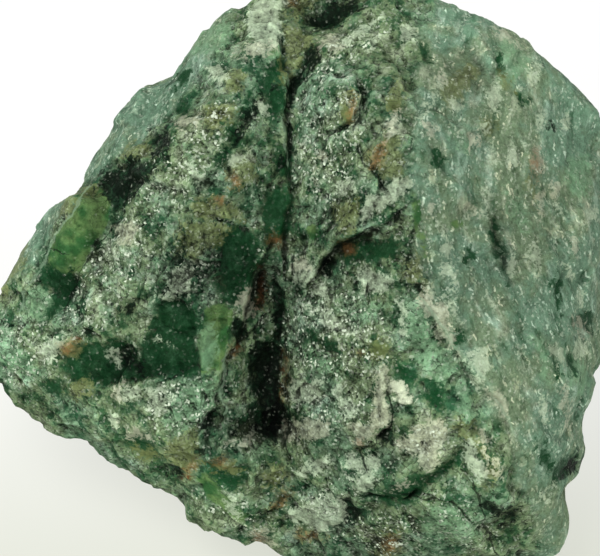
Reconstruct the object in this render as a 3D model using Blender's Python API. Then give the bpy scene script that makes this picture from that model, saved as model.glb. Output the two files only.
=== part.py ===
"""A rough lump of jade, broken from a larger block: one solid stone about 78 mm across.

The stone is first a block with flat broken sides, the hull of the corners named below. Its sides
are then given their relief: the cleft down the broad broken face, the ledges, steps, hollows and
cracks beside it, and the lumps and chips of a fracture. Last it is cut flat where it rests.

Two frames are used, both in millimetres. The face frame lies on the broad broken face: x across
it, y up its slope and z straight out of it. The floor frame stands on the ground, z up, and the
face frame leans back in it by FACE_LEAN_DEG.
"""

import math

import bmesh
import bpy
import numpy as np

MM = 0.001

# ---- Driving dimensions, in millimetres and degrees ----------------------------------------

FACE_LEAN_DEG = 30.0  # the broad face leans back this far from lying flat
REST_HEIGHT = -29.5  # height of the flat break the stone rests on, in the floor frame
STONE_CENTRE = (0.61, 4.37)  # middle of the finished outline on the floor, in the floor frame
MIDDLE = (0.5, 4.0, -15.0)  # a point inside the stone that sees its whole surface, face frame
BALL_CENTRE = (0.5, 0.0, -6.0)  # the ball of starting points, face frame
BALL_RADII = (40.0, 38.0, 28.0)
SQUARES_PER_SIDE = 30  # the ball is a rounded cube, with this many squares along each edge
EDGE_SHARPNESS = 40.0  # how crisp the block's edges are; higher is sharper

# Corners along the outline of the broad face, clockwise from the left tip, face frame.
OUTLINE_CORNERS = (
    (-40.5, -9.0, -6), (-38.8, -1.6, -7), (-30.4, 6.9, -7), (-25.8, 16.2, -6), (-18.5, 22.2, -5),
    (-13.7, 30.4, -4), (-6.3, 36.5, -3), (5.0, 38.4, -2), (16.4, 35.2, -2), (26.0, 32.4, -2),
    (30.8, 28.0, -3), (37.5, 20.9, -5), (40.2, 9.6, -6), (38.3, -3.6, -6), (36.6, -14.4, -5),
    (36.8, -23.0, -5), (34.4, -36.0, -6), (21.2, -39.0, -8), (4.4, -37.2, -8), (-3.6, -36.0, -7),
    (-10.8, -28.4, -6), (-21.3, -22.6, -6), (-31.9, -18.7, -7), (-39.2, -15.4, -8),
)

# High corners of the two lobes that stand out of the broad face, face frame.
LOBE_CORNERS = (
    (-16.0, 8.0, 8.5), (-8.0, 22.5, 9), (-23.0, -14.5, 2.5), (-25.5, 9.5, 4), (-32.0, -2.5, 0),
    (12.0, 18.0, 13), (15.5, 6.0, 16), (21.5, -12.0, 15), (26.5, -25.5, 10), (12.0, -30.0, 7),
    (-8.5, -23.0, 6), (6.0, 33.0, 6), (26.5, 23.0, 5.5), (36.0, 4.5, 3.0), (34.0, -17.0, 5),
)

# Corners of the underside, floor frame: those round the resting break, then those half way up.
UNDERSIDE_CORNERS = (
    (-9, -8, -35), (-15, 6, -35), (-8, 20, -35), (12, 25, -35), (27, 17, -35), (30, -5, -35),
    (20, -18, -35), (0, -17, -35),
    (-29, 17, -8), (-14, 31, -7), (7, 38.5, -6), (26, 35.5, -8), (37, 23, -9), (38, -4, -15),
    (-32, 3, -15),
)

# ---- Relief of the broad face, all in the face frame ---------------------------------------

# Valleys: route, half-width on the left and on the right of the route, and depth.
VALLEYS = (
    (((6.0, 38.0), (2.5, 30.0), (0.0, 26.0), (-1.2, 22.5), (-1.4, 15.5), (-1.0, 9.5), (-2.0, 3.5),
      (-2.2, -5.0), (-2.6, -13.5), (-1.6, -19.5), (-1.0, -26.5), (-2.0, -36.0)), 13.0, 11.0, 6.5),
    (((-10.0, 25.5), (-16.0, 18.5), (-19.5, 14.0), (-22.0, 10.5), (-23.0, 7.5), (-24.5, 2.5),
      (-28.0, -2.5)), 2.6, 7.5, 2.6),
    (((2.5, 0.2), (4.6, 2.8), (6.8, 3.9), (9.6, 5.2)), 2.6, 5.0, 1.0),
    (((5.5, -29.0), (12.0, -27.5), (17.0, -23.5), (20.5, -18.5)), 3.2, 3.6, 1.6),
    (((-13.0, -15.5), (-8.0, -18.5), (-2.0, -18.5)), 4.0, 5.0, 1.8),
)
VALLEY_ROUNDING = 0.11  # how round a valley's floor is, as a share of its width
VALLEY_HOLLOWNESS = 1.35  # 1 gives a valley straight sides, more makes them hollow

# Steps: route, height, and how far the high ground reaches back before it has faded away. The
# ground on the left of the route, looking along it, is the high side.
STEPS = (
    (((-2.0, 2.5), (-2.2, 5.0), (-1.0, 9.5), (-1.5, 15.5), (-2.2, 19.0), (-1.6, 23.0), (-2.2, 27.0)),
     1.4, 7.0),
    (((-11.8, -17.0), (-10.2, -15.0), (-9.6, -12.0), (-9.0, -9.0), (-7.0, -5.0), (-6.0, -1.0),
      (-4.5, 2.5)), 1.5, 6.5),
    (((1.8, 0.3), (3.6, 2.7), (4.8, 4.3), (6.7, 4.9), (9.6, 6.2), (11.5, 7.8)), 1.3, 5.0),
    (((3.8, 17.8), (6.0, 18.6), (6.7, 21.0), (6.0, 23.0), (4.0, 23.6)), 1.3, 3.5),
    (((9.0, -20.5), (9.6, -19.0), (11.4, -17.0), (11.0, -14.5), (10.6, -12.5)), 1.0, 2.6),
    (((25.0, -18.0), (24.0, -15.0), (22.0, -13.2), (20.0, -11.0), (17.0, -7.0)), -1.1, 4.0),
    (((-18.5, -12.2), (-14.5, -12.0), (-12.3, -10.8), (-12.0, -8.0), (-12.6, -5.0), (-14.0, -2.8)),
     -1.1, 4.5),
    (((9.0, -26.6), (15.0, -26.6), (19.0, -27.8), (21.2, -29.8), (23.2, -33.0)), -1.2, 3.5),
)
STEP_WIDTH = 3.0  # how wide the drop of a step is
STEP_END = 2.0  # past either end of its route a step fades away over about this distance

# The routes of valleys and steps wander a little from side to side.
WANDER = 0.5
WANDER_SIZE = 4.0  # distance between one bend and the next
WANDER_SEEDS = (11, 17)

# Swells and hollows: place, half-length, half-width, turn in degrees and height.
SWELLS = (
    ((-4.0, -12.0), 6.5, 2.6, 88, -2.6),
    ((-4.4, -1.0), 2.6, 1.8, 80, -1.4),
    ((-7.6, -6.4), 1.7, 1.5, 0, -0.9),
    ((3.6, 33.5), 4.0, 2.8, 60, -2.4),
    ((-22.0, -9.8), 2.4, 1.6, -30, -1.1),
    ((-15.5, -7.5), 3.6, 3.0, 20, -0.7),
    ((-7.4, 12.6), 3.2, 2.4, 30, 1.5),
    ((-11.0, 9.0), 3.0, 2.0, 20, 1.2),
    ((-26.0, 7.5), 6.0, 2.6, 55, 1.2),
    ((17.0, -27.5), 4.5, 2.2, -30, 1.3),
    ((3.0, -18.0), 4.5, 2.6, 10, 1.0),
    ((14.5, -19.5), 3.6, 2.6, 30, 0.9),
    ((21.0, -22.0), 4.5, 1.8, -72, 0.9),
    ((-18.0, -17.0), 4.0, 2.4, -20, 0.8),
)

# Notches chipped out of the outline: place in the face frame, radius and depth. Each is a groove
# CHIP_STRETCH times as long, straight back from the broad face, as it is wide.
CHIPS = (
    ((34.2, -27.4, -9), 2.6, 2.4),
    ((36.0, -17.6, -8), 2.4, 1.0),
    ((-28.0, 13.2, -8), 3.0, 0.8),
    ((-16.4, -26.8, -9), 2.4, 0.9),
    ((-27.5, -20.8, -9), 1.8, 0.7),
)
CHIP_STRETCH = 4.0
RELIEF_FULL_Z = 7.0  # the relief is at full height this far out of the face frame's plane
RELIEF_NONE_Z = -9.0  # and has died away here, behind the outline

# Facets of the broken surface: their size, their height and the seed of their random numbers.
FACETS = ((13.0, 1.3, 40), (6.5, 0.62, 60))
FACET_SHARPNESS = 24.0  # how crisp the edges between the facets are
FACET_STRAY = 0.42  # how far a facet's middle strays from that of its lattice cell, in cells
FACET_OFFSET = 0.35  # how much of a facet's height is a step, beside what its tilt gives

# Smooth lumps under the facets.
LUMPS_SIZE = 8.0
LUMPS_HEIGHT = 0.35
LUMPS_OCTAVES = 2
LUMPS_SEED = 3

# The rock splits along sheets that stand up out of the broad face, so the sides that cut across
# the sheets are ribbed with small ledges.
SHEET_SPACING = 6.5
SHEET_LEAN = 0.12  # how far the sheets run sideways for each millimetre up the broad face
SHEET_BEND = 0.008  # how fast that grows away from the middle, per millimetre
SHEET_WANDER = 2.4
SHEET_WANDER_SIZE = 9.0
SHEET_SEED = 31
LEDGE_HEIGHT = 0.8
LEDGE_RISE = 0.75  # a ledge rises over this share of the spacing and drops over the rest

JADE_COLOUR = (0.115, 0.19, 0.11, 1.0)
JADE_ROUGHNESS = 0.42
SHARP_EDGE_DEG = 35.0  # edges bent by more than this are shaded sharp


# ---- Noise on whole arrays of points -------------------------------------------------------

def random_at(cells, seed):
    """One fixed random number from -1 to 1 for each whole-numbered cell, by mixing its three numbers."""
    x, y, z = (cells[..., axis].astype(np.uint64) for axis in range(3))
    mixed = (x * np.uint64(73856093)) ^ (y * np.uint64(19349663)) ^ (z * np.uint64(83492791))
    mixed = (mixed + np.uint64(seed * 7919)) & np.uint64(0xFFFFFFFF)
    for shift, factor in ((16, 0x45D9F3B), (15, 0x119DE1F3)):
        mixed = ((mixed ^ (mixed >> np.uint64(shift))) * np.uint64(factor)) & np.uint64(0xFFFFFFFF)
    return (mixed ^ (mixed >> np.uint64(16))).astype(np.float64) / 2.0**31 - 1.0


def smooth_noise(points, seed):
    """Noise from -1 to 1: random numbers on a unit lattice, blended smoothly between its corners."""
    cells = np.floor(points).astype(np.int64)
    part = points - cells
    part = part * part * (3.0 - 2.0 * part)
    total = np.zeros(len(points))
    for corner in np.ndindex(2, 2, 2):
        share = np.prod(np.where(corner, part, 1.0 - part), axis=1)
        total += share * random_at(cells + np.array(corner), seed)
    return total


def layered_noise(points, octaves, seed):
    """Smooth noise with finer and fainter noise laid over it, each octave half the size and height."""
    return sum(smooth_noise(points * 2.0**n, seed + n) * 0.5**n for n in range(octaves))


def broken_facets(points, size, seed):
    """Height of randomly tilted facets: each point takes the tilted plane of the seed point nearest it.

    The planes near a point are weighed by exp(-FACET_SHARPNESS * distance squared), so the nearest
    one counts for nearly all and the edges between the facets are a little soft.
    """
    places = points / size
    cells = np.floor(places).astype(np.int64)
    total = np.zeros(len(points))
    weights = np.full(len(points), 1e-9)
    for offset in np.ndindex(3, 3, 3):
        cell = cells + np.array(offset) - 1
        jitter = np.stack([random_at(cell, seed + n) for n in range(3)], axis=1)
        away = places - (cell + 0.5 + FACET_STRAY * jitter)
        tilt = np.stack([random_at(cell, seed + 5 + n) for n in range(3)], axis=1)
        weight = np.exp(-FACET_SHARPNESS * (away**2).sum(axis=1))
        total += weight * ((away * tilt).sum(axis=1) + FACET_OFFSET * random_at(cell, seed + 9))
        weights += weight
    return total / weights


# ---- The two frames ------------------------------------------------------------------------

def face_axes():
    """The face frame's x, y and z as directions in the floor frame, one to a row."""
    lean = math.radians(FACE_LEAN_DEG)
    return np.array([
        (1.0, 0.0, 0.0),
        (0.0, math.cos(lean), math.sin(lean)),
        (0.0, -math.sin(lean), math.cos(lean)),
    ])


def to_floor(points):
    return np.asarray(points, float) @ face_axes()


def to_face(points):
    return np.asarray(points, float) @ face_axes().T


# ---- The block -----------------------------------------------------------------------------

def block_sides():
    """Outward directions and distances from MIDDLE of the flat sides of the hull of all the corners.

    Both are in the face frame.
    """
    corners = np.vstack([np.array(OUTLINE_CORNERS + LOBE_CORNERS, float), to_face(UNDERSIDE_CORNERS)])
    hull = bmesh.new()
    for corner in corners - np.array(MIDDLE):
        hull.verts.new(corner)
    bmesh.ops.convex_hull(hull, input=hull.verts)
    hull.normal_update()
    normals = np.array([face.normal[:] for face in hull.faces])
    distances = np.array([face.normal.dot(face.verts[0].co) for face in hull.faces])
    hull.free()
    return normals * np.sign(distances)[:, None], np.abs(distances)


def block_points(directions):
    """Points of the block along these directions from MIDDLE, face frame.

    The distance to the block's flat side in a direction is h / cos, so its inverse is the largest
    cos / h of all sides. A high power mean in place of the largest rounds the edges a little.
    """
    normals, distances = block_sides()
    facing = np.maximum(directions @ normals.T, 0.0) / distances
    largest = facing.max(axis=1)
    mean = ((facing / largest[:, None]) ** EDGE_SHARPNESS).sum(axis=1) ** (1.0 / EDGE_SHARPNESS)
    return np.array(MIDDLE) + directions / (largest * mean)[:, None]


# ---- The relief ----------------------------------------------------------------------------

def smooth_rise(value, low, high):
    """0 below low, 1 above high, and an S-curve between them."""
    share = np.clip((value - low) / (high - low), 0.0, 1.0)
    return share * share * (3.0 - 2.0 * share)


def beside(route, x, y):
    """Signed distance from a route, above 0 on its left, and how far past its ends each point lies."""
    best = np.full(len(x), np.inf)
    side = np.zeros(len(x))
    past = np.zeros(len(x))
    for (ax, ay), (bx, by) in zip(route[:-1], route[1:]):
        length = math.hypot(bx - ax, by - ay)
        ux, uy = (bx - ax) / length, (by - ay) / length
        along = (x - ax) * ux + (y - ay) * uy
        held = np.clip(along, 0.0, length)
        distance = np.hypot(x - ax - held * ux, y - ay - held * uy)
        closer = distance < best
        best = np.where(closer, distance, best)
        side = np.where(closer, np.sign(ux * (y - ay) - uy * (x - ax)), side)
        past = np.where(closer, np.abs(along - held), past)
    return best * side, past


def face_relief(x, y):
    """Height of the valleys, steps and swells of the broad face at each point of it."""
    height = np.zeros(len(x))
    for route, left, right, depth in VALLEYS:
        across = beside(route, x, y)[0]
        share = np.hypot(across / np.where(across > 0, left, right), VALLEY_ROUNDING)
        height -= depth * np.maximum(1.0 - share, 0.0) ** VALLEY_HOLLOWNESS
    for route, rise, reach in STEPS:
        across, past = beside(route, x, y)
        fade = np.exp(-np.maximum(across, 0.0) / reach - (past / STEP_END) ** 2)
        height += rise * smooth_rise(across, -STEP_WIDTH / 2, STEP_WIDTH / 2) * fade
    for (cx, cy), long, wide, turn, rise in SWELLS:
        cos, sin = math.cos(math.radians(turn)), math.sin(math.radians(turn))
        along = ((x - cx) * cos + (y - cy) * sin) / long
        across = ((y - cy) * cos - (x - cx) * sin) / wide
        height += rise * np.exp(-(along**2 + across**2))
    return height


def ledges(points):
    """Small ledges of the sheets: a leaning saw-tooth of the distance across them, bent by noise."""
    x, y = points[:, 0], points[:, 1]
    across = x + SHEET_LEAN * y - SHEET_BEND * y**2
    across += SHEET_WANDER * smooth_noise(points / SHEET_WANDER_SIZE, SHEET_SEED)
    share = across / SHEET_SPACING
    share = share - np.floor(share)
    return smooth_rise(share, 0.0, LEDGE_RISE) - smooth_rise(share, LEDGE_RISE, 1.0) - 0.5


def stone_points(directions):
    """Points of the finished surface along these directions from MIDDLE, face frame."""
    points = block_points(directions)
    share = smooth_rise(points[:, 2], RELIEF_NONE_Z, RELIEF_FULL_Z)
    bends = [layered_noise(points / WANDER_SIZE, 2, seed) for seed in WANDER_SEEDS]
    wander = WANDER * np.stack(bends, axis=1)
    height = face_relief(points[:, 0] + wander[:, 0], points[:, 1] + wander[:, 1])
    moved = points + (share * height)[:, None] * np.array((0.0, 0.0, 1.0))
    rough = LUMPS_HEIGHT * layered_noise(points / LUMPS_SIZE, LUMPS_OCTAVES, LUMPS_SEED)
    for size, rise, seed in FACETS:
        rough += rise * broken_facets(points, size, seed)
    rough += LEDGE_HEIGHT * (1.0 - share) * (1.0 - np.abs(directions[:, 0])) * ledges(points)
    for place, radius, depth in CHIPS:
        away = (points - np.array(place)) / radius / np.array((1.0, 1.0, CHIP_STRETCH))
        rough -= depth * np.exp(-(away**2).sum(axis=1))
    return moved + rough[:, None] * directions


# ---- Building ------------------------------------------------------------------------------

def clear_scene():
    for item in list(bpy.data.objects):
        bpy.data.objects.remove(item)


def jade_material():
    material = bpy.data.materials.new("jade")
    material.use_nodes = True
    shader = material.node_tree.nodes["Principled BSDF"]
    shader.inputs["Base Color"].default_value = JADE_COLOUR
    shader.inputs["Roughness"].default_value = JADE_ROUGHNESS
    shader.inputs["Metallic"].default_value = 0.0
    return material


def squared_ball():
    """A cube cut into squares, whose points give directions spread evenly over a ball."""
    ball = bmesh.new()
    bmesh.ops.create_cube(ball, size=2.0)
    bmesh.ops.subdivide_edges(ball, edges=ball.edges, cuts=SQUARES_PER_SIDE - 1, use_grid_fill=True)
    return ball


def starting_directions(cube):
    """Directions from MIDDLE to points spread evenly over the starting ball, face frame."""
    round_cube = np.tan(cube * math.pi / 4)
    round_cube /= np.linalg.norm(round_cube, axis=1)[:, None]
    away = np.array(BALL_CENTRE) + round_cube * np.array(BALL_RADII) - np.array(MIDDLE)
    return away / np.linalg.norm(away, axis=1)[:, None]


def build_stone():
    stone = squared_ball()
    cube = np.array([vert.co[:] for vert in stone.verts])
    points = to_floor(stone_points(starting_directions(cube)))
    points -= np.array((*STONE_CENTRE, REST_HEIGHT))
    for vert, point in zip(stone.verts, points * MM):
        vert.co = point
    bmesh.ops.triangulate(stone, faces=stone.faces)
    cut = bmesh.ops.bisect_plane(
        stone, geom=stone.verts[:] + stone.edges[:] + stone.faces[:],
        plane_co=(0.0, 0.0, 0.0), plane_no=(0.0, 0.0, -1.0), clear_outer=True,
    )
    rim = [item for item in cut["geom_cut"] if isinstance(item, bmesh.types.BMEdge)]
    bmesh.ops.contextual_create(stone, geom=rim)
    bmesh.ops.recalc_face_normals(stone, faces=stone.faces)
    mesh = bpy.data.meshes.new("jade_stone")
    stone.to_mesh(mesh)
    stone.free()
    mesh.materials.append(jade_material())
    mesh.shade_smooth()
    mesh.set_sharp_from_angle(angle=math.radians(SHARP_EDGE_DEG))
    bpy.context.scene.collection.objects.link(bpy.data.objects.new("jade_stone", mesh))


def main():
    clear_scene()
    build_stone()


main()
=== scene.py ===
"""Dresses a rough jade stone: its fine broken surface, its greens and stains, and the studio.

Lengths are in millimetres until a mesh, a lamp or the camera is made. The face frame lies on the
broad broken face: x across it, y up its slope and z straight out of it. The floor frame stands on
the ground, z up, and the face frame leans back in it by FACE_LEAN_DEG.
"""

import math

import bmesh
import bpy
import numpy as np
from bpy.props import FloatProperty, FloatVectorProperty, IntProperty, PointerProperty
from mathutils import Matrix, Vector


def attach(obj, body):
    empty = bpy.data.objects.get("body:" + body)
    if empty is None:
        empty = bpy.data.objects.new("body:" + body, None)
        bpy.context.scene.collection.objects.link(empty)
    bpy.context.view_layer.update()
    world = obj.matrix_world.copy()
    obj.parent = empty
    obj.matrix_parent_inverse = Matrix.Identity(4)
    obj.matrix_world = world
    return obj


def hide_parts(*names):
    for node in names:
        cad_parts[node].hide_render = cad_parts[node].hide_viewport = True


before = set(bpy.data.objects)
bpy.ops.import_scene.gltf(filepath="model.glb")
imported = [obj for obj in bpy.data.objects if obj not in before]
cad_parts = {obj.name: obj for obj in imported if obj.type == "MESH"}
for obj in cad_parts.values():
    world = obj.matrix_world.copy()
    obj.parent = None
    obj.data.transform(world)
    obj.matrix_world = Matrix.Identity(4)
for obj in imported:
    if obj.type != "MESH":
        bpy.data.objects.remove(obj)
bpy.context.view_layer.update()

bl_info = {
    "name": "Rough Jade Stone",
    "version": (1, 0, 0),
    "blender": (4, 5, 0),
    "location": "3D View > Sidebar > Jade Stone",
    "description": "A rough lump of jade with its broken surface, grains, stains and a plain studio",
    "category": "Add Mesh",
}

MM = 0.001

# ---- The block, as in the solid ------------------------------------------------------------

FACE_LEAN_DEG = 30.0
REST_HEIGHT = -29.5
STONE_CENTRE = (0.61, 4.37)
MIDDLE = (0.5, 4.0, -15.0)
BALL_CENTRE = (0.5, 0.0, -6.0)
BALL_RADII = (40.0, 38.0, 28.0)
BALL_LIFT = 0.3  # moves the starting points towards the broad face, which gets the finer squares
EDGE_SHARPNESS = 40.0

OUTLINE_CORNERS = (
    (-40.5, -9.0, -6), (-38.8, -1.6, -7), (-30.4, 6.9, -7), (-25.8, 16.2, -6), (-18.5, 22.2, -5),
    (-13.7, 30.4, -4), (-6.3, 36.5, -3), (5.0, 38.4, -2), (16.4, 35.2, -2), (26.0, 32.4, -2),
    (30.8, 28.0, -3), (37.5, 20.9, -5), (40.2, 9.6, -6), (38.3, -3.6, -6), (36.6, -14.4, -5),
    (36.8, -23.0, -5), (34.4, -36.0, -6), (21.2, -39.0, -8), (4.4, -37.2, -8), (-3.6, -36.0, -7),
    (-10.8, -28.4, -6), (-21.3, -22.6, -6), (-31.9, -18.7, -7), (-39.2, -15.4, -8),
)
LOBE_CORNERS = (
    (-16.0, 8.0, 8.5), (-8.0, 22.5, 9), (-23.0, -14.5, 2.5), (-25.5, 9.5, 4), (-32.0, -2.5, 0),
    (12.0, 18.0, 13), (15.5, 6.0, 16), (21.5, -12.0, 15), (26.5, -25.5, 10), (12.0, -30.0, 7),
    (-8.5, -23.0, 6), (6.0, 33.0, 6), (26.5, 23.0, 5.5), (36.0, 4.5, 3.0), (34.0, -17.0, 5),
)
UNDERSIDE_CORNERS = (
    (-9, -8, -35), (-15, 6, -35), (-8, 20, -35), (12, 25, -35), (27, 17, -35), (30, -5, -35),
    (20, -18, -35), (0, -17, -35),
    (-29, 17, -8), (-14, 31, -7), (7, 38.5, -6), (26, 35.5, -8), (37, 23, -9), (38, -4, -15),
    (-32, 3, -15),
)

# ---- Relief of the broad face, face frame --------------------------------------------------

# Valleys: route, half-width on the left and on the right of the route, and depth.
CLEFT_ROUTE = (
    (6.0, 38.0), (2.5, 30.0), (0.0, 26.0), (-1.2, 22.5), (-1.4, 15.5), (-1.0, 9.5), (-2.0, 3.5),
    (-2.2, -5.0), (-2.6, -13.5), (-1.6, -19.5), (-1.0, -26.5), (-2.0, -36.0),
)
VALLEYS = (
    (CLEFT_ROUTE, 13.0, 11.0, 6.5),
    (((-10.0, 25.5), (-16.0, 18.5), (-19.5, 14.0), (-22.0, 10.5), (-23.0, 7.5), (-24.5, 2.5),
      (-28.0, -2.5)), 2.4, 7.5, 2.6),
    (((2.5, 0.2), (4.6, 2.8), (6.8, 3.9), (9.6, 5.2)), 1.2, 5.0, 1.0),
    (((5.5, -29.0), (12.0, -27.5), (17.0, -23.5), (20.5, -18.5)), 2.8, 3.4, 1.6),
    (((-13.0, -15.5), (-8.0, -18.5), (-2.0, -18.5)), 4.0, 5.0, 1.8),
)
VALLEY_ROUNDING = 0.10  # how round a valley's floor is, as a share of its width
VALLEY_POWER = 1.35  # above 1, a valley's sides flatten towards its rims

# Steps: route, height, and how far the high ground on the left of the route reaches back.
STEPS = (
    (((-2.0, 2.5), (-2.2, 5.0), (-1.0, 9.5), (-1.5, 15.5), (-2.2, 19.0), (-1.6, 23.0), (-2.2, 27.0)),
     1.4, 7.0),
    (((-11.8, -17.0), (-10.2, -15.0), (-9.6, -12.0), (-9.0, -9.0), (-7.0, -5.0), (-6.0, -1.0),
      (-4.5, 2.5)), 1.5, 6.5),
    (((1.8, 0.3), (3.6, 2.7), (4.8, 4.3), (6.7, 4.9), (9.6, 6.2), (11.5, 7.8)), 1.3, 5.0),
    (((3.8, 17.8), (6.0, 18.6), (6.7, 21.0), (6.0, 23.0), (4.0, 23.6)), 1.3, 3.5),
    (((9.0, -20.5), (9.6, -19.0), (11.4, -17.0), (11.0, -14.5), (10.6, -12.5)), 1.0, 2.6),
    (((25.0, -18.0), (24.0, -15.0), (22.0, -13.2), (20.0, -11.0), (17.0, -7.0)), -1.1, 4.0),
    (((-18.5, -12.2), (-14.5, -12.0), (-12.3, -10.8), (-12.0, -8.0), (-12.6, -5.0), (-14.0, -2.8)),
     -1.1, 4.5),
    (((9.0, -26.6), (15.0, -26.6), (19.0, -27.8), (21.2, -29.8), (23.2, -33.0)), -1.2, 3.5),
)

STEP_END = 2.0  # how far past its ends a step fades out

# Swells and hollows: place, half-length, half-width, turn in degrees and height.
SWELLS = (
    ((-4.0, -12.0), 6.5, 2.6, 88, -2.6),
    ((-4.4, -1.0), 2.6, 1.8, 80, -1.4),
    ((-7.6, -6.4), 1.7, 1.5, 0, -0.9),
    ((3.6, 33.5), 4.0, 2.8, 60, -2.4),
    ((-22.0, -9.8), 2.4, 1.6, -30, -1.1),
    ((-15.5, -7.5), 3.6, 3.0, 20, -0.7),
    ((-7.4, 12.6), 3.2, 2.4, 30, 1.5),
    ((-11.0, 9.0), 3.0, 2.0, 20, 1.2),
    ((-26.0, 7.5), 6.0, 2.6, 55, 1.2),
    ((17.0, -27.5), 4.5, 2.2, -30, 1.3),
    ((3.0, -18.0), 4.5, 2.6, 10, 1.0),
    ((14.5, -19.5), 3.6, 2.6, 30, 0.9),
    ((21.0, -22.0), 4.5, 1.8, -72, 0.9),
    ((-18.0, -17.0), 4.0, 2.4, -20, 0.8),
)

# Notches chipped out of the outline: place, radius and depth.
CHIPS = (
    ((34.2, -27.4, -9), 2.6, 2.4),
    ((36.0, -17.6, -8), 2.4, 1.0),
    ((-28.0, 13.2, -8), 3.0, 0.8),
    ((-16.4, -26.8, -9), 2.4, 0.9),
    ((-27.5, -20.8, -9), 1.8, 0.7),
)
CHIP_STRETCH = 4.0
RELIEF_FULL_Z = 7.0
RELIEF_NONE_Z = -9.0

# Cracks: route, half-width and depth.
CRACKS = (
    (((-22.0, 7.0), (-23.4, 5.4), (-24.4, 3.6), (-25.9, 1.8), (-27.6, -0.3), (-28.9, -4.0)), 0.4, 0.4),
    (((0.6, 26.0), (-0.8, 24.0), (-1.8, 22.0), (-1.6, 19.9), (-1.1, 17.2), (-1.3, 13.6)), 0.35, 0.35),
    (((-2.3, -13.2), (-1.4, -15.2), (-1.3, -18.4), (-1.9, -20.2), (-1.1, -22.1)), 0.4, 0.5),
    (((10.6, -13.8), (11.0, -16.1), (10.9, -18.0), (9.4, -19.0), (8.8, -20.0), (7.1, -20.8),
      (8.0, -22.7)), 0.4, 0.6),
    (((20.5, -24.5), (21.5, -27.5), (22.7, -30.5), (24.0, -33.4)), 0.4, 0.4),
    (((12.0, -26.0), (15.0, -26.5), (17.8, -26.5), (19.3, -27.7), (20.5, -28.6)), 0.35, 0.3),
    (((7.0, 15.4), (7.7, 13.6), (9.0, 12.1), (9.8, 10.6)), 0.4, 0.4),
    (((2.2, 0.8), (3.6, 2.6), (4.9, 4.2), (6.8, 4.8), (8.8, 5.7)), 0.4, 0.3),
    (((-29.9, 3.4), (-28.9, 3.1)), 0.4, 0.1),
    (((6.4, 17.6), (7.3, 19.2), (7.2, 21.4), (6.0, 23.2)), 0.4, 0.4),
)

# Thin edges of see-through sheets, with painted highlight along them where they catch and let through light.
LIT_RIMS = (
    ((-34.3, -4.0), (-34.0, -2.0), (-32.4, 0.4), (-31.2, 2.4), (-29.4, 5.6), (-27.6, 8.6), (-25.6, 11.2)),
    ((-2.2, 19.4), (-1.9, 17.6), (-1.6, 15.6), (-1.7, 14.0)),
    ((-9.2, -16.4), (-9.5, -14.0), (-9.2, -11.4), (-9.0, -9.0)),
    ((14.6, -2.8), (16.8, -6.0), (19.4, -9.2), (21.8, -12.2), (24.2, -15.4), (26.0, -19.0)),
)

# Roughness: size of the facets or lumps, and their height.
FACETS = ((13.0, 1.3), (6.5, 0.62))
FACET_SHARPNESS = 24.0
FACET_JITTER = 0.42  # how far the facets' middles lie from an even lattice, in sizes
FACET_STEP = 0.35  # how much higher or lower one facet is than the next, as a share
LUMPS_SIZE = 8.0
LUMPS_HEIGHT = 0.35
LUMPS_OCTAVES = 2

# The finer relief that the solid leaves out.
FINE_FACET_SIZE = 3.0
CHIP_SIZE = 1.4
FINE_SHARPNESS = 40.0
RIB_SIZES = (0.9, 5.0, 3.0)
SHEET_SMOOTHING = 0.65  # how much of the small facets the sheets lose
WAXY_SMOOTHING = 0.8  # how much of the fine relief the clear green loses
DARK_WAX = 0.75  # how waxy the dark markings are beside the clear green
WAXY_EDGE = (-0.2, 0.4)
DARK_WAX_EDGE = (-0.1, 0.7)
RAISED_EDGE = (-0.2, 0.3)

# The sheets: how they lean and curve up the face, their spacing, and their ledges' height and bends.
SHEET_SLANT = 0.12
SHEET_CURVE = 0.008
SHEET_SPACING = 6.5
LEDGE_HEIGHT = 0.8
LEDGE_RAMP = 0.75  # the share of its width over which a ledge rises before it drops
LEDGE_BEND = 2.4
LEDGE_BEND_SIZE = 9.0

# Wander of the routes and of the markings: reach, size, octaves, and the numbers of the two noises.
ROUTE_WANDER = ((0.5, 4.0, 2, (11, 17)), (0.22, 1.3, 2, (12, 18)))
MARKING_WANDER = (0.35, 2.0, 3, (21, 27))

# ---- Markings of the broad face, face frame --------------------------------------------------

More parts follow.
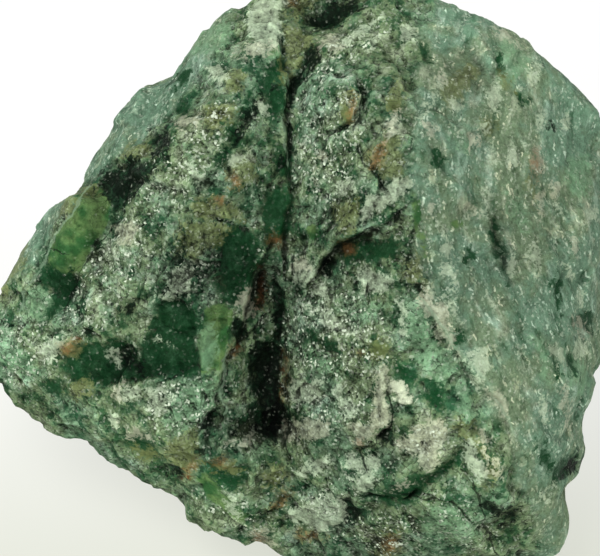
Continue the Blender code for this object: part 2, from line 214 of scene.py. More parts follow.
# Outlines of the larger markings of each colour, corner by corner.
OUTLINES = {
    "clear": (
        # Left plane
        ((-11.5, -3.5), (-9.0, -3.0), (-8.0, -5.0), (-9.5, -11.0), (-12.0, -11.5), (-12.5, -10.5)),
        # Left tip
        ((-24.5, 11.5), (-23.0, 9.5), (-23.5, 7.0), (-26.5, 1.0), (-28.5, 0.0), (-31.5, 1.5),
         (-26.5, 11.0)),
        # Lower edge
        ((-12.5, -24.5), (-11.5, -23.5), (-10.0, -24.0), (-10.0, -26.0), (-6.5, -28.5), (-6.0, -30.0),
         (-7.5, -30.0), (-11.0, -27.0)),
    ),
    "mint": (
        # Left tip
        ((-33.5, -1.5), (-32.0, -1.0), (-29.0, -3.0), (-31.0, -5.0), (-33.5, -6.5), (-34.5, -3.5)),
        ((-37.0, -7.0), (-34.5, -8.0), (-32.5, -10.5), (-33.0, -12.5), (-36.0, -11.5), (-37.0, -10.0)),
        # Left plane
        ((-12.0, -5.5), (-10.0, -6.0), (-10.0, -9.5), (-11.0, -11.0), (-12.5, -10.5)),
        ((-14.5, -13.0), (-10.0, -12.0), (-9.5, -14.0), (-10.5, -16.5), (-13.5, -19.5), (-15.5, -19.5),
         (-17.0, -17.5), (-15.5, -15.5)),
        ((-14.5, 16.0), (-13.5, 16.0), (-11.5, 12.0), (-12.5, 12.5)),
        # Upper edge
        ((-3.5, 27.5), (-2.0, 28.5), (-2.0, 27.0), (-3.0, 26.0), (-4.0, 26.5)),
        ((-12.5, 31.5), (-8.0, 31.5), (-7.5, 29.0), (-10.5, 27.0), (-13.5, 27.5)),
        # Middle
        ((11.5, -2.5), (13.0, -2.5), (15.0, -4.5), (18.0, -11.0), (17.5, -13.0), (16.0, -12.5),
         (14.5, -11.0), (13.0, -8.5)),
        ((19.0, -14.0), (20.0, -14.5), (23.0, -18.5), (21.5, -19.5), (19.0, -17.5), (18.0, -15.5)),
        # Lower edge
        ((-6.5, -20.0), (-4.5, -19.5), (-3.5, -20.5), (-4.5, -22.0), (-6.0, -23.0)),
        # Lower right corner
        ((15.5, -27.5), (18.5, -26.5), (21.0, -28.0), (22.0, -31.0), (18.5, -32.0), (14.5, -30.5)),
        # Sheets on the right
        ((24.5, 29.0), (27.0, 28.5), (28.0, 26.5), (27.0, 24.0), (25.0, 22.5), (24.0, 23.5)),
        ((32.5, 14.5), (34.5, 15.0), (36.0, 14.0), (36.0, 11.5), (34.5, 10.0), (33.0, 10.0)),
        ((28.0, -7.5), (29.5, -7.5), (30.0, -13.0), (29.0, -12.0)),
        ((31.5, -8.0), (35.0, -10.5), (35.5, -12.0), (34.0, -14.0), (32.5, -12.5)),
    ),
    "dark": (
        # Left tip
        ((-31.5, 2.5), (-29.5, 1.0), (-26.5, 0.5), (-28.5, -3.0), (-31.0, -5.0), (-30.0, -2.0),
         (-32.0, -1.0), (-33.0, -1.5)),
        ((-29.0, -10.0), (-27.0, -8.0), (-23.0, -7.5), (-19.5, -9.0), (-19.0, -12.0), (-22.0, -13.0),
         (-27.0, -13.5), (-28.5, -12.5)),
        # Left plane
        ((-17.0, -3.0), (-14.5, -2.5), (-13.5, -3.0), (-12.0, -5.5), (-12.5, -10.0), (-12.0, -11.5),
         (-14.5, -12.0), (-19.0, -12.0), (-20.0, -11.5), (-18.5, -6.0)),
        ((-9.5, 5.5), (-6.5, 6.5), (-4.5, 3.5), (-5.5, -0.5), (-7.0, -3.5), (-9.5, -3.0), (-10.0, 1.0)),
        ((-10.5, 13.5), (-5.5, 23.0), (-8.5, 14.5), (-9.5, 13.0)),
        # Along the cleft
        ((-4.5, 25.5), (-2.0, 26.5), (-2.0, 20.0), (-3.5, 19.0), (-4.5, 20.0), (-5.0, 23.5)),
        ((-4.0, 14.5), (-1.0, 16.0), (-1.0, 12.0), (-1.5, 11.5), (-3.5, 12.0)),
        ((-6.5, -15.5), (-4.5, -15.0), (-3.5, -18.5), (-5.5, -19.0)),
        ((-5.0, 10.0), (-3.0, 11.0), (-1.0, 10.5), (-1.0, 7.5), (-2.0, 4.5), (-4.0, 3.0)),
        # Middle
        ((14.5, -12.5), (15.5, -12.0), (17.0, -13.5), (17.0, -15.5), (15.5, -15.0)),
        # This one lies under the ledge: partly darker rock, partly painted shadow of the ledge.
        ((4.5, 4.5), (12.0, 4.5), (12.0, 2.0), (10.0, 2.5), (7.0, 2.0), (5.0, 1.0)),
        # Lower edge
        ((-11.5, -22.5), (-9.0, -23.0), (-6.5, -22.5), (-6.0, -24.5), (-8.0, -26.0), (-10.0, -25.0)),
        ((-22.0, -19.0), (-18.5, -18.5), (-17.0, -21.5), (-19.5, -22.0), (-21.5, -21.0)),
        # Lower right corner
        ((8.5, -26.5), (12.0, -24.5), (15.5, -23.5), (20.0, -20.0), (18.5, -23.0), (16.0, -25.0),
         (14.0, -26.5), (9.0, -27.5)),
        # Sheets on the right
        ((30.0, -23.0), (32.0, -22.0), (34.5, -21.5), (34.5, -23.5), (30.5, -25.0)),
        ((18.5, -5.0), (20.0, -6.0), (20.0, -8.0), (18.5, -8.0)),
    ),
    # Nearly black: partly the stone's own darkest green, partly painted shadow in the cleft, in the hollow
    # at the upper edge, in the wedge beside the step at the top of the cleft and under the ledge in the
    # middle.
    "deep_and_shadow": (
        # Left plane
        ((-24.5, 11.0), (-24.0, 13.0), (-16.5, 15.0), (-17.5, 13.0), (-21.5, 8.5), (-23.0, 8.0)),
        ((-23.0, -9.0), (-21.0, -8.5), (-19.5, -10.5), (-19.5, -11.5), (-22.0, -11.0)),
        ((-18.0, 17.5), (-15.5, 18.0), (-15.5, 16.5), (-16.5, 15.0), (-18.0, 14.5)),
        ((-11.5, -16.5), (-10.5, -16.0), (-11.0, -22.0), (-12.0, -21.0)),
        # Upper edge
        ((2.5, 28.5), (2.5, 27.0), (-1.5, 21.0), (-2.0, 22.5), (1.0, 28.0)),
        ((0.0, 32.5), (2.5, 33.0), (3.5, 34.5), (7.0, 34.0), (7.5, 33.0), (3.0, 30.0), (1.0, 31.0)),
        # Along the cleft
        ((-5.5, 0.5), (-4.5, 1.0), (-4.0, -1.0), (-4.5, -3.5), (-5.5, -3.5), (-6.0, -1.5)),
        ((-3.0, 0.5), (-2.0, -1.5), (-2.0, -8.0), (-3.0, -8.0), (-3.5, -2.5)),
        ((-5.5, -7.5), (-3.0, -7.5), (-2.0, -9.0), (-2.5, -13.5), (-1.5, -18.0), (-3.5, -19.5),
         (-4.5, -18.0), (-5.0, -15.5), (-6.0, -14.0), (-6.5, -9.5)),
        ((-8.0, -5.0), (-6.5, -5.5), (-6.5, -7.5), (-8.0, -8.0), (-8.5, -6.5)),
        # Middle
        # Partly painted shadow under the ledge.
        ((2.5, 2.0), (4.0, 2.5), (5.0, 1.5), (3.5, 0.0), (2.5, 0.5)),
        # Lower edge
        ((4.5, -27.0), (6.5, -27.0), (7.5, -28.5), (7.0, -29.5), (5.5, -29.5)),
    ),
    "olive": (
        # Left tip
        ((-28.5, -12.5), (-26.0, -12.5), (-25.5, -14.5), (-27.0, -15.0), (-28.5, -14.5)),
        ((-29.0, -8.0), (-27.0, -7.5), (-26.5, -9.0), (-27.5, -9.5), (-29.5, -9.5)),
        ((-29.0, 10.0), (-26.5, 12.0), (-26.0, 11.5), (-27.5, 9.0), (-29.0, 7.5)),
        ((-37.0, 2.0), (-34.0, 4.5), (-33.0, 3.5), (-37.0, -2.5)),
        # Left plane
        ((-21.0, 15.5), (-19.5, 16.5), (-18.0, 16.0), (-18.0, 14.5), (-20.0, 14.0), (-21.5, 14.5)),
        ((-13.0, 10.0), (-10.0, 10.0), (-9.5, 8.5), (-7.0, 8.0), (-6.5, 7.0), (-10.0, 7.0),
         (-11.5, 6.5), (-13.0, 7.0), (-13.5, 8.5)),
        ((-11.5, 20.5), (-8.0, 21.0), (-8.5, 18.5), (-10.5, 17.0), (-11.5, 18.5)),
        ((-14.5, 6.5), (-8.5, 6.5), (-9.0, 4.5), (-11.5, 3.5), (-12.5, 2.0), (-14.0, 3.5)),
        # Upper edge
        ((-1.0, 34.0), (2.0, 34.5), (1.5, 33.0), (-1.0, 31.5), (-1.5, 33.0)),
        ((-2.0, 30.5), (-0.5, 30.5), (2.0, 29.5), (2.0, 28.0), (0.5, 27.0), (0.0, 25.5), (-1.0, 25.0),
         (-2.0, 26.5)),
        # Along the cleft
        ((-8.5, 22.0), (-9.5, 24.5), (-7.5, 26.0), (-6.5, 25.0), (-7.5, 22.0)),
        ((-9.0, 12.0), (-7.5, 15.0), (-6.0, 15.5), (-5.0, 14.0), (-5.5, 11.5), (-7.5, 10.5),
         (-8.5, 11.0)),
        # Middle
        ((9.5, 18.0), (12.0, 18.0), (12.5, 16.5), (11.5, 15.0), (12.5, 13.0), (12.5, 11.5),
         (9.5, 11.5), (8.0, 13.5), (7.5, 15.0), (9.5, 16.0)),
        ((3.5, 9.0), (7.5, 9.5), (7.0, 6.5), (5.0, 5.0), (3.5, 7.5)),
        ((12.0, 2.5), (13.5, 2.5), (14.5, 1.0), (14.5, -0.5), (13.5, -1.0), (12.0, 0.0)),
        ((5.0, 22.0), (6.0, 22.5), (6.5, 20.5), (6.0, 19.0), (5.0, 18.5), (4.5, 20.5)),
        ((10.0, 21.5), (11.5, 23.5), (12.5, 21.5), (11.5, 19.5), (10.0, 20.0)),
        # Lower edge
        ((-14.5, -18.5), (-12.5, -18.5), (-12.0, -22.5), (-13.5, -24.5), (-15.0, -23.5), (-16.5, -21.0)),
        ((-21.0, -21.0), (-18.0, -21.0), (-17.5, -22.0), (-19.5, -22.0)),
        ((-4.5, -23.0), (-2.0, -22.0), (-1.5, -24.5), (-2.5, -26.0), (-4.5, -25.5)),
        ((-4.5, -29.0), (-3.0, -27.0), (-1.5, -26.5), (-1.5, -27.5), (-4.0, -30.0)),
        ((9.0, -31.0), (10.5, -30.5), (12.0, -31.0), (11.5, -33.0), (10.5, -34.0), (9.0, -33.5)),
        # Lower right corner
        ((22.0, -20.0), (23.0, -20.5), (23.5, -23.0), (22.5, -26.0), (22.0, -23.0)),
        ((18.0, -16.0), (20.5, -17.0), (21.5, -18.5), (20.0, -19.5), (18.0, -18.0)),
        # Sheets on the right
        ((16.5, 22.5), (20.5, 26.5), (22.0, 25.5), (18.0, 20.0)),
    ),
    "pale": (
        # Left tip
        ((-32.0, -8.0), (-29.0, -6.5), (-28.0, -7.5), (-30.5, -10.0)),
        # Left plane
        ((-15.5, 1.0), (-12.5, 2.0), (-13.0, -1.5), (-14.5, -2.5), (-16.0, -2.5)),
        ((-18.5, -13.5), (-17.0, -13.5), (-15.5, -14.5), (-16.0, -16.5), (-17.5, -17.5), (-18.5, -15.5)),
        ((-22.5, -13.5), (-20.0, -13.0), (-19.5, -14.5), (-21.0, -15.0), (-22.0, -14.5)),
        # Upper edge
        ((-6.5, 31.5), (-5.0, 34.0), (-2.0, 34.0), (-2.5, 28.0), (-4.5, 28.0), (-6.0, 29.0)),
        ((-11.5, 25.5), (-10.0, 26.0), (-8.5, 24.5), (-10.5, 23.5)),
        # Middle
        ((4.5, 11.5), (6.5, 11.5), (7.0, 10.0), (4.5, 9.5)),
        ((10.0, 18.5), (12.0, 19.0), (12.5, 17.0), (10.0, 16.0)),
        ((7.5, 9.5), (9.5, 10.0), (10.0, 11.0), (12.5, 12.0), (13.5, 11.0), (7.5, 6.5)),
        ((-1.0, 2.0), (1.5, 2.0), (2.5, 1.0), (1.0, -1.0), (0.0, -1.5)),
        ((6.5, 0.0), (7.5, 1.5), (9.5, 1.0), (11.0, 0.0), (10.0, -1.5), (7.5, -1.5)),
        ((-1.0, -12.0), (2.5, -12.5), (2.5, -14.0), (1.5, -15.0), (-0.5, -15.0), (-1.5, -13.5)),
        ((4.0, -13.5), (4.5, -13.0), (7.0, -16.0), (6.0, -17.0), (5.0, -16.0)),
        # Lower edge
        ((-1.5, -28.5), (3.0, -26.5), (5.0, -27.0), (5.5, -29.0), (4.5, -31.0), (2.0, -31.0),
         (0.0, -30.0), (-1.5, -30.0)),
        ((6.0, -24.0), (8.5, -23.5), (9.5, -25.5), (7.5, -26.5)),
        # Lower right corner
        ((19.5, -20.5), (20.5, -19.5), (22.0, -22.0), (22.0, -24.5), (20.5, -23.5)),
        # Sheets on the right
        ((22.5, 22.5), (24.0, 24.0), (24.5, 21.0), (23.0, 20.0)),
        ((16.5, 4.0), (17.5, 4.5), (18.5, 3.5), (18.0, 2.0), (17.0, 2.5)),
        ((19.5, -8.5), (21.5, -8.5), (22.5, -10.5), (21.5, -12.5)),
    ),
    "cream": (
        # Left plane
        ((-23.0, 6.0), (-21.5, 7.0), (-19.0, 6.0), (-20.5, 4.5), (-22.0, 4.5)),
        ((-15.0, 19.0), (-12.0, 20.0), (-12.0, 18.5), (-14.5, 18.0)),
        # Upper edge
        ((-7.0, 28.5), (-2.5, 28.0), (-4.5, 26.5), (-6.5, 27.0)),
        # Along the cleft
        ((-7.5, -2.0), (-6.0, -1.5), (-5.5, -4.0), (-6.5, -5.0), (-7.5, -4.0)),
        # Middle
        ((-2.0, -17.5), (3.5, -17.0), (4.0, -18.5), (-0.5, -20.0), (-2.0, -19.5)),
        ((6.0, -17.5), (8.0, -17.0), (9.0, -18.0), (8.5, -19.5), (7.0, -20.0)),
        ((9.0, -10.5), (10.5, -10.0), (10.5, -14.5), (11.0, -17.0), (10.5, -18.0), (9.0, -18.5),
         (8.5, -16.5)),
        ((10.5, -12.5), (11.5, -12.5), (13.5, -14.0), (13.0, -15.0), (11.5, -15.0)),
        ((14.5, -3.0), (16.0, -2.5), (17.5, -4.0), (17.0, -8.0)),
        # Lower right corner
        ((13.5, -18.0), (15.5, -17.0), (17.0, -17.0), (17.5, -19.0), (16.0, -23.0), (15.0, -23.0),
         (14.0, -21.0), (12.0, -20.5), (12.0, -19.5)),
        ((21.5, -20.0), (23.0, -21.5), (22.5, -23.0), (22.0, -22.0)),
        # Sheets on the right
        ((31.5, -13.0), (32.0, -12.5), (33.0, -16.0), (32.0, -16.5)),
        ((22.0, -13.0), (23.5, -13.0), (25.0, -15.5), (24.5, -17.0)),
    ),
    "rust": (
        # Middle
        ((9.0, 15.5), (10.0, 16.0), (9.0, 12.5), (8.5, 13.0)),
    ),
}

# Small markings: place, half-length, half-width and turn in degrees.
SPOTS = {
    "clear": (
        # Upper edge
        (-2.9, 27.2, 0.7, 0.6, 0),
        # Middle
        (1.6, 5.5, 0.8, 0.8, 0), (5.6, 19.6, 1.0, 0.6, -70), (9.4, -8.3, 1.0, 0.8, 0),
        # Sheets on the right
        (14.0, 6.5, 4.4, 0.5, -78), (18.7, 6.4, 0.7, 0.5, 90),
    ),
    "mint": (
        # Middle
        (2.2, -9.6, 2.6, 1.0, -40), (8.4, -4.0, 2.0, 0.8, 30),
        # Lower edge
        (-4.6, -21.1, 1.3, 0.9, 0),
        # Lower right corner
        (23.0, -27.0, 1.4, 0.8, 60),
        # Sheets on the right
        (19.4, 16.0, 1.6, 1.0, -40), (26.0, 8.0, 2.4, 0.9, -70),
    ),
    "dark": (
        # Left tip
        (-30.5, -13.6, 1.8, 0.8, -40),
        # Left plane
        (-14.4, 24.0, 1.6, 0.6, 45), (-14.4, 20.8, 1.1, 0.9, 40),
        # Upper edge
        (6.8, 30.2, 1.2, 0.5, 20), (15.2, 27.0, 1.6, 0.4, -65),
        # Along the cleft
        (-7.3, -6.8, 0.8, 0.8, 0),
        # Middle
        (11.1, 20.5, 0.7, 0.6, 0), (12.5, -11.8, 1.6, 1.0, -40), (2.6, -7.8, 2.0, 0.8, -30),
        # Lower right corner
        (29.8, -22.0, 2.0, 0.6, -70),
        # Sheets on the right
        (23.4, 5.6, 1.6, 0.4, -80), (24.2, 1.6, 1.4, 0.4, -80), (24.4, 26.0, 1.3, 0.4, -75),
        (27.0, 21.4, 0.8, 0.5, 0), (20.3, 2.6, 0.9, 0.7, 60),
        (30.8, -9.4, 1.8, 0.5, -80), (31.0, -2.0, 1.6, 0.4, -80), (33.0, -10.4, 1.4, 0.5, -70),
        (16.4, 14.4, 1.6, 0.6, -60), (34.9, -5.3, 1.5, 1.1, -40),
    ),
    "deep_and_shadow": (
        # Left tip
        (-26.0, -6.6, 0.8, 0.6, 0),
        # Left plane
        (-21.0, -4.1, 0.9, 0.7, 40),
        # Along the cleft
        (-3.0, 13.0, 2.6, 0.5, 62), (-6.4, 18.7, 3.6, 0.5, 55), (-4.6, -19.0, 2.6, 0.8, 0),
        # Middle
        (10.6, -19.1, 0.9, 0.8, 25),
        # Lower right corner
        (23.4, -27.8, 1.5, 0.5, -30), (25.4, -28.8, 1.0, 0.6, 40), (24.6, -30.0, 0.8, 0.5, 0),
        # Lower edge
        (4.4, -30.6, 0.8, 0.4, 0), (-15.8, -23.5, 1.7, 0.7, -5), (-4.0, -29.4, 1.2, 0.7, 45),
        # Sheets on the right
        (30.9, 18.6, 0.3, 0.3, 0), (33.6, -23.1, 1.2, 0.7, 35),
    ),
    "olive": (
        # Left tip
        (-25.2, 11.0, 1.3, 0.8, 30),
        # Left plane
        (-14.2, 4.6, 2.2, 1.0, 70),
        # Upper edge
        (-0.6, 32.4, 1.6, 0.9, 0), (-1.4, 24.8, 1.2, 0.8, 60),
        # Middle
        (14.3, 0.4, 2.4, 0.7, -68), (9.2, -8.7, 1.4, 1.2, 45),
        # Lower edge
        (-8.9, -22.9, 1.2, 0.8, 0), (1.5, -31.8, 1.2, 0.8, -5),
        # Lower right corner
        (21.6, -20.6, 1.6, 0.8, -75), (18.7, -17.8, 1.6, 0.6, -15),
        # Sheets on the right
        (27.8, 11.2, 2.2, 0.6, -80), (22.6, 18.2, 1.6, 0.6, 70), (25.0, 23.3, 1.2, 0.7, -85),
    ),
    "pale": (
        # Left plane
        (-22.7, -9.6, 0.9, 0.4, -50), (-15.6, -2.3, 1.2, 0.5, 10), (-17.4, -7.4, 0.8, 0.3, -10),
        (-23.4, 3.1, 0.9, 0.6, 60), (-12.4, 12.4, 1.6, 0.6, -60), (-22.8, -17.2, 1.1, 0.7, 90),
        (-23.7, 2.5, 0.9, 0.6, -20),
        # Upper edge
        (6.4, 29.3, 2.6, 0.5, 35), (8.8, 28.6, 0.8, 0.5, 60), (13.6, 29.0, 0.9, 0.35, 80),
        (12.9, 29.2, 1.2, 0.9, -90),
        # Along the cleft
        (-7.2, -19.9, 1.2, 0.5, 30), (-7.3, 14.5, 1.5, 0.5, 20), (-4.3, 20.3, 0.7, 0.6, -70),
        # Middle
        (12.1, -5.1, 1.8, 0.25, -85), (2.6, -1.3, 1.1, 0.6, -30), (8.8, 0.2, 1.2, 0.6, -40),
        (4.2, -5.2, 3.2, 0.8, -30), (12.2, -13.8, 1.4, 0.6, -50), (15.8, -2.4, 1.4, 0.4, -65),
        (2.6, -1.4, 1.2, 1.0, 45), (12.3, -5.0, 1.2, 0.3, 80),
        # Lower edge
        (7.2, -22.7, 1.7, 0.8, -40), (1.9, -22.9, 1.9, 0.6, 10), (7.7, -25.1, 1.2, 0.5, -15),
        (-8.0, -28.2, 1.4, 0.5, -50), (8.7, -22.0, 1.2, 1.0, 85),
        # Lower right corner
        (29.6, -26.4, 0.9, 0.4, 40),
        # Sheets on the right
        (16.6, 23.0, 2.2, 0.4, 65), (14.8, 19.9, 1.3, 0.4, 55), (21.1, 16.6, 1.6, 0.4, 50),
        (25.4, 14.5, 1.0, 0.5, 75), (27.2, 16.1, 1.1, 0.5, 10), (25.1, 1.6, 1.1, 0.4, 80),
        (33.8, -8.4, 0.9, 0.5, 90), (29.2, -15.6, 1.6, 0.3, -80), (34.0, -3.0, 0.9, 0.4, 80),
        (32.4, 1.0, 0.8, 0.4, -60), (31.0, 8.6, 0.9, 0.5, -40), (35.4, 7.4, 1.0, 0.6, 60),
        (18.6, -4.6, 1.6, 0.35, -60), (22.4, 8.8, 1.2, 0.35, 85), (17.6, 4.0, 2.0, 0.3, -65),
        (20.6, -11.4, 2.0, 0.3, -60), (17.6, 0.6, 1.6, 0.3, -70), (29.0, 19.4, 0.8, 0.4, 60),
        (32.6, 19.0, 0.9, 0.5, 80), (22.8, -3.2, 1.4, 0.3, -60), (26.6, -9.8, 1.2, 0.3, -65),
        (31.8, -18.4, 1.0, 0.4, 60), (28.7, 25.0, 1.2, 0.7, 80), (34.4, -8.8, 0.9, 0.7, -5),
        (31.0, -9.0, 1.2, 0.5, -65), (18.6, 20.6, 0.8, 0.6, -75), (25.7, 14.8, 1.3, 0.5, -85),
        (23.1, 14.8, 0.9, 0.6, -70), (28.1, 2.6, 1.5, 0.7, -85),
    ),
    "cream": (
        # Left plane
        (-20.0, -18.7, 1.3, 0.5, -20), (-22.2, -13.8, 1.0, 0.7, 65), (-20.4, -19.1, 0.9, 0.7, 25),
        # Upper edge
        (-5.2, 27.2, 1.9, 0.4, 10), (3.7, 28.2, 1.3, 1.1, -55),
        # Along the cleft
        (-7.3, -20.0, 1.0, 0.4, 10), (-0.1, 1.8, 0.9, 0.7, -35),
        # Middle
        (10.9, 18.1, 1.7, 0.6, 60), (1.9, 13.0, 0.9, 0.3, 80), (16.3, -4.8, 3.2, 0.4, -62),
        (3.1, 14.5, 0.9, 0.8, 25),
        # Lower edge
        (-4.2, -31.2, 1.0, 0.6, 0), (-4.8, -32.1, 1.4, 0.9, -45),
        # Lower right corner
        (23.0, -21.1, 2.0, 0.3, -70), (12.4, -24.9, 1.3, 0.4, 20),
        # Sheets on the right
        (15.4, 17.6, 0.8, 0.4, -60), (25.0, 29.5, 1.8, 0.4, -38), (31.6, -14.9, 1.4, 0.4, -70),
        (34.4, -6.0, 0.9, 0.4, -70), (33.4, 3.6, 0.8, 0.4, -80), (17.0, 24.6, 0.9, 0.4, 80),
        (21.0, 16.3, 1.0, 0.7, 50), (20.5, 8.3, 1.4, 0.5, -40), (15.3, 17.4, 0.9, 0.6, -70),
        (28.9, 13.7, 1.4, 0.7, -85), (28.9, 9.2, 1.2, 0.4, 90), (31.0, 10.7, 1.2, 0.3, 90),
        (15.7, 8.2, 0.6, 0.3, -90), (24.9, 29.9, 0.8, 0.5, -10), (32.4, -17.5, 1.1, 0.3, -80),
    ),
    "rust": (
        # Left tip
        (-28.0, -8.3, 0.8, 0.5, 35),
        # Left plane
        (-9.7, 9.6, 0.5, 0.3, 0), (-9.7, 9.3, 0.6, 0.4, 10),
        # Upper edge
        (-0.9, 33.4, 0.4, 0.3, 70),
        # Along the cleft
        (-2.9, 4.4, 0.9, 0.5, -40), (-1.8, -12.0, 2.2, 0.2, 85), (-4.6, -1.4, 1.4, 0.5, 85),
        (-7.9, 11.5, 0.7, 0.5, -65), (-7.9, -8.8, 0.6, 0.4, -85),
        # Middle
        (7.2, -9.0, 0.3, 0.3, 0), (5.8, 3.6, 0.8, 0.7, 0), (7.2, -19.9, 0.4, 0.3, 25),
        (6.3, 20.1, 1.1, 0.3, 85),
        # Lower edge
        (-10.1, -22.4, 0.7, 0.5, -20), (1.3, -31.9, 0.9, 0.4, -15), (-2.2, -27.1, 1.1, 0.6, 50),
        (10.8, -32.2, 1.0, 0.9, 90), (-5.1, -32.0, 0.7, 0.4, 80), (-13.5, -23.4, 0.8, 0.4, 55),
        # Sheets on the right
        (28.7, 13.2, 0.8, 0.2, -80), (28.6, 13.9, 1.0, 0.3, 90),
    ),
}
# Sugary parts, in ovals like the small markings.
SUGARY = (
    (-34.5, -9.0, 4.5, 4.2, 0), (-23.5, -0.6, 7.5, 3.4, 55), (-14.5, -15.8, 4.6, 3.2, 20),
    (-17.5, 10.5, 6.5, 3.0, 55), (3.0, 18.0, 9.0, 4.2, 88), (4.5, -7.0, 6.5, 5.0, 0),
    (3.6, -26.8, 3.6, 2.6, 10), (7.0, 28.8, 4.6, 1.9, 30), (-12.5, 15.5, 6.5, 2.6, 55),
    (4.6, -15.5, 4.0, 2.0, 0), (-8.0, -28.5, 5.0, 2.0, -30), (10.0, -31.0, 6.0, 2.4, 0),
    (16.0, -19.5, 4.0, 2.0, 0), (20.0, -30.0, 5.0, 2.4, -40),
)

# Broad paler and darker parts: partly the stone's own tone, partly painted light and painted shade, lighter
# on sides that the lamps leave dark, such as the lower left edge and the right edge, and darker in the
# middle and along the cleft. Place, half-length, half-width, turn and change of brightness.
TONES_AND_PAINTED_LIGHT = (
    # Left tip and the window
    ((-34.0, 0.5), 4.0, 3.0, 50, 0.30), ((-36.0, -7.0), 5.0, 5.0, 0, 0.30),
    ((-33.0, -12.0), 4.0, 2.5, -30, 0.35), ((-27.5, 0.0), 4.0, 3.0, 50, -0.40),
    ((-29.0, 3.5), 2.6, 2.0, 50, 0.30), ((-25.5, 9.0), 3.0, 2.0, 50, -0.30),
    ((-27.0, -8.0), 4.0, 4.0, 0, 0.22),
    # Left plane
    ((-21.0, -1.0), 4.0, 3.0, 40, 0.20), ((-20.5, -11.0), 6.0, 2.5, 0, -0.42),
    ((-15.0, -0.5), 3.5, 2.5, 60, -0.40), ((-15.0, 7.5), 5.0, 3.0, 20, 0.25),
    ((-9.0, 0.5), 8.0, 5.0, 0, -0.40), ((-12.0, 2.0), 4.0, 3.0, 70, -0.35),
    ((-8.5, -18.5), 5.0, 3.0, -10, -0.50),
    # Lower left edge
    ((-3.0, -22.0), 3.0, 2.0, 0, 0.22), ((-16.0, -22.5), 13.0, 3.5, -33, 0.80),
    ((-23.0, -18.5), 6.0, 3.0, -25, 0.35),
    # Along the cleft
    ((-3.0, -12.0), 9.0, 3.5, 88, -0.42), ((-3.0, -17.5), 4.0, 3.5, 0, -0.50),
    ((-4.0, 27.0), 8.0, 6.0, 0, 0.22),
    # Middle
    ((6.0, 6.0), 8.0, 4.0, 20, -0.34), ((15.0, 0.5), 4.0, 2.0, -65, -0.38),
    ((3.0, -1.5), 6.0, 5.0, 0, -0.24), ((6.0, -12.0), 3.5, 2.2, 20, -0.38),
    ((2.0, -8.2), 3.0, 2.0, 0, -0.34), ((13.0, -11.5), 5.0, 4.5, -50, 0.50),
    ((11.5, -21.5), 3.0, 2.2, 0, -0.30), ((15.0, 31.0), 6.0, 3.0, 0, 0.45),
    # Lower right corner
    ((21.5, -25.0), 12.0, 8.0, -60, 0.38), ((24.5, -28.5), 2.8, 2.2, 0, -0.45),
    ((21.5, -22.0), 2.8, 1.8, -70, -0.40),
    ((15.0, -28.5), 3.5, 2.5, 0, -0.30), ((18.0, -25.0), 7.0, 4.0, -20, 0.25),
    ((9.0, -32.0), 4.0, 3.0, 0, -0.38),
    # Sheets on the right
    ((24.0, -12.0), 10.0, 6.0, -60, 0.20), ((22.5, 12.0), 4.0, 3.0, 60, 0.20),
    ((35.0, 4.0), 16.0, 4.0, 90, 0.12),
    ((33.5, -12.0), 4.0, 4.0, 0, 0.22), ((26.0, 5.0), 8.0, 4.0, 90, -0.16),
    ((23.8, 3.5), 6.5, 1.1, -80, -0.50), ((28.0, 25.0), 6.0, 4.0, -40, 0.42),
    ((31.0, 17.0), 5.0, 3.0, 60, 0.22), ((21.0, 24.5), 3.2, 2.6, 0, -0.32),
    ((30.0, -3.0), 3.5, 3.0, 0, 0.20),
)

# Where the rock starts to show its sheets: right of the middle, and on the bevel at the upper left.
RIGHT_SHEETS_EDGE = (
    (17.0, 38.0), (14.5, 26.0), (13.0, 12.0), (13.2, 7.0), (14.5, 1.0), (18.0, -7.0),
    (22.0, -14.5), (25.0, -20.0), (28.0, -28.0), (30.0, -36.0),
)
BEVEL_SHEETS_EDGE = (
    (-44.0, -4.0), (-34.5, 0.5), (-31.0, 5.0), (-28.0, 9.5), (-25.0, 12.5), (-21.5, 15.0),
    (-18.5, 17.5), (-15.5, 20.5), (-13.0, 23.5), (-10.5, 27.0), (-8.5, 31.5), (-8.0, 36.0),
)

# Route, how far noise moves it, the noise's size and number, and half the width of the change.
SHEET_EDGES = ((RIGHT_SHEETS_EDGE, 1.6, 3.0, 77, 1.0), (BEVEL_SHEETS_EDGE, 0.8, 2.0, 79, 0.5))

# Where the stone's other sides have each marking: size of its patches, and how rare they are.
ELSEWHERE = {
    "clear": (9.0, 0.40), "mint": (10.0, 0.30), "dark": (6.0, 0.22), "deep_and_shadow": (5.0, 0.50),
    "olive": (7.0, 0.42), "pale": (3.2, 0.50), "cream": (3.4, 0.62), "rust": (2.6, 0.80),
}
FRONT_RARITY = 2.0  # how much rarer these are on the broad face, which has its own

# How far a marking stands out from the rock, in mm.
RAISED = {"pale": 0.12, "cream": 0.14, "olive": 0.12, "dark": -0.2, "deep_and_shadow": -0.35}

# How the fields are worked out. An edge is given by where it begins and where it ends.
RIDGE_ROUNDS = 4
RIDGE_REACH = 0.3  # a point counts as standing out by this much at most, in mm
FIELD_REACH = 1.5  # a marking's field says how far inside it a point lies, up to this
LINE_REACH = (0.5, 1.0)  # how far from a rim or a crack its line begins to fade, and is gone
SCATTER_STRETCH = (1.0, 0.55, 0.7)  # the scattered patches run long where this is small
SCATTER_SLOPE = 0.5  # how fast the noise of the scattered patches rises across their edges
SUGAR_EDGE = (-1.0, 1.0)
SUGAR_PATCH_SIZE = 12.0
SUGAR_PATCH_EDGE = (-0.4, 0.5)
SHEET_PATCH_SIZE = 16.0
SHEET_PATCH_EDGE = (-0.25, 0.25)
FRONT_EDGE = (-12.0, -6.0)  # where the broad face's markings end and begin, out along the face frame's z

# ---- Grain and layers of the rock ----------------------------------------------------------

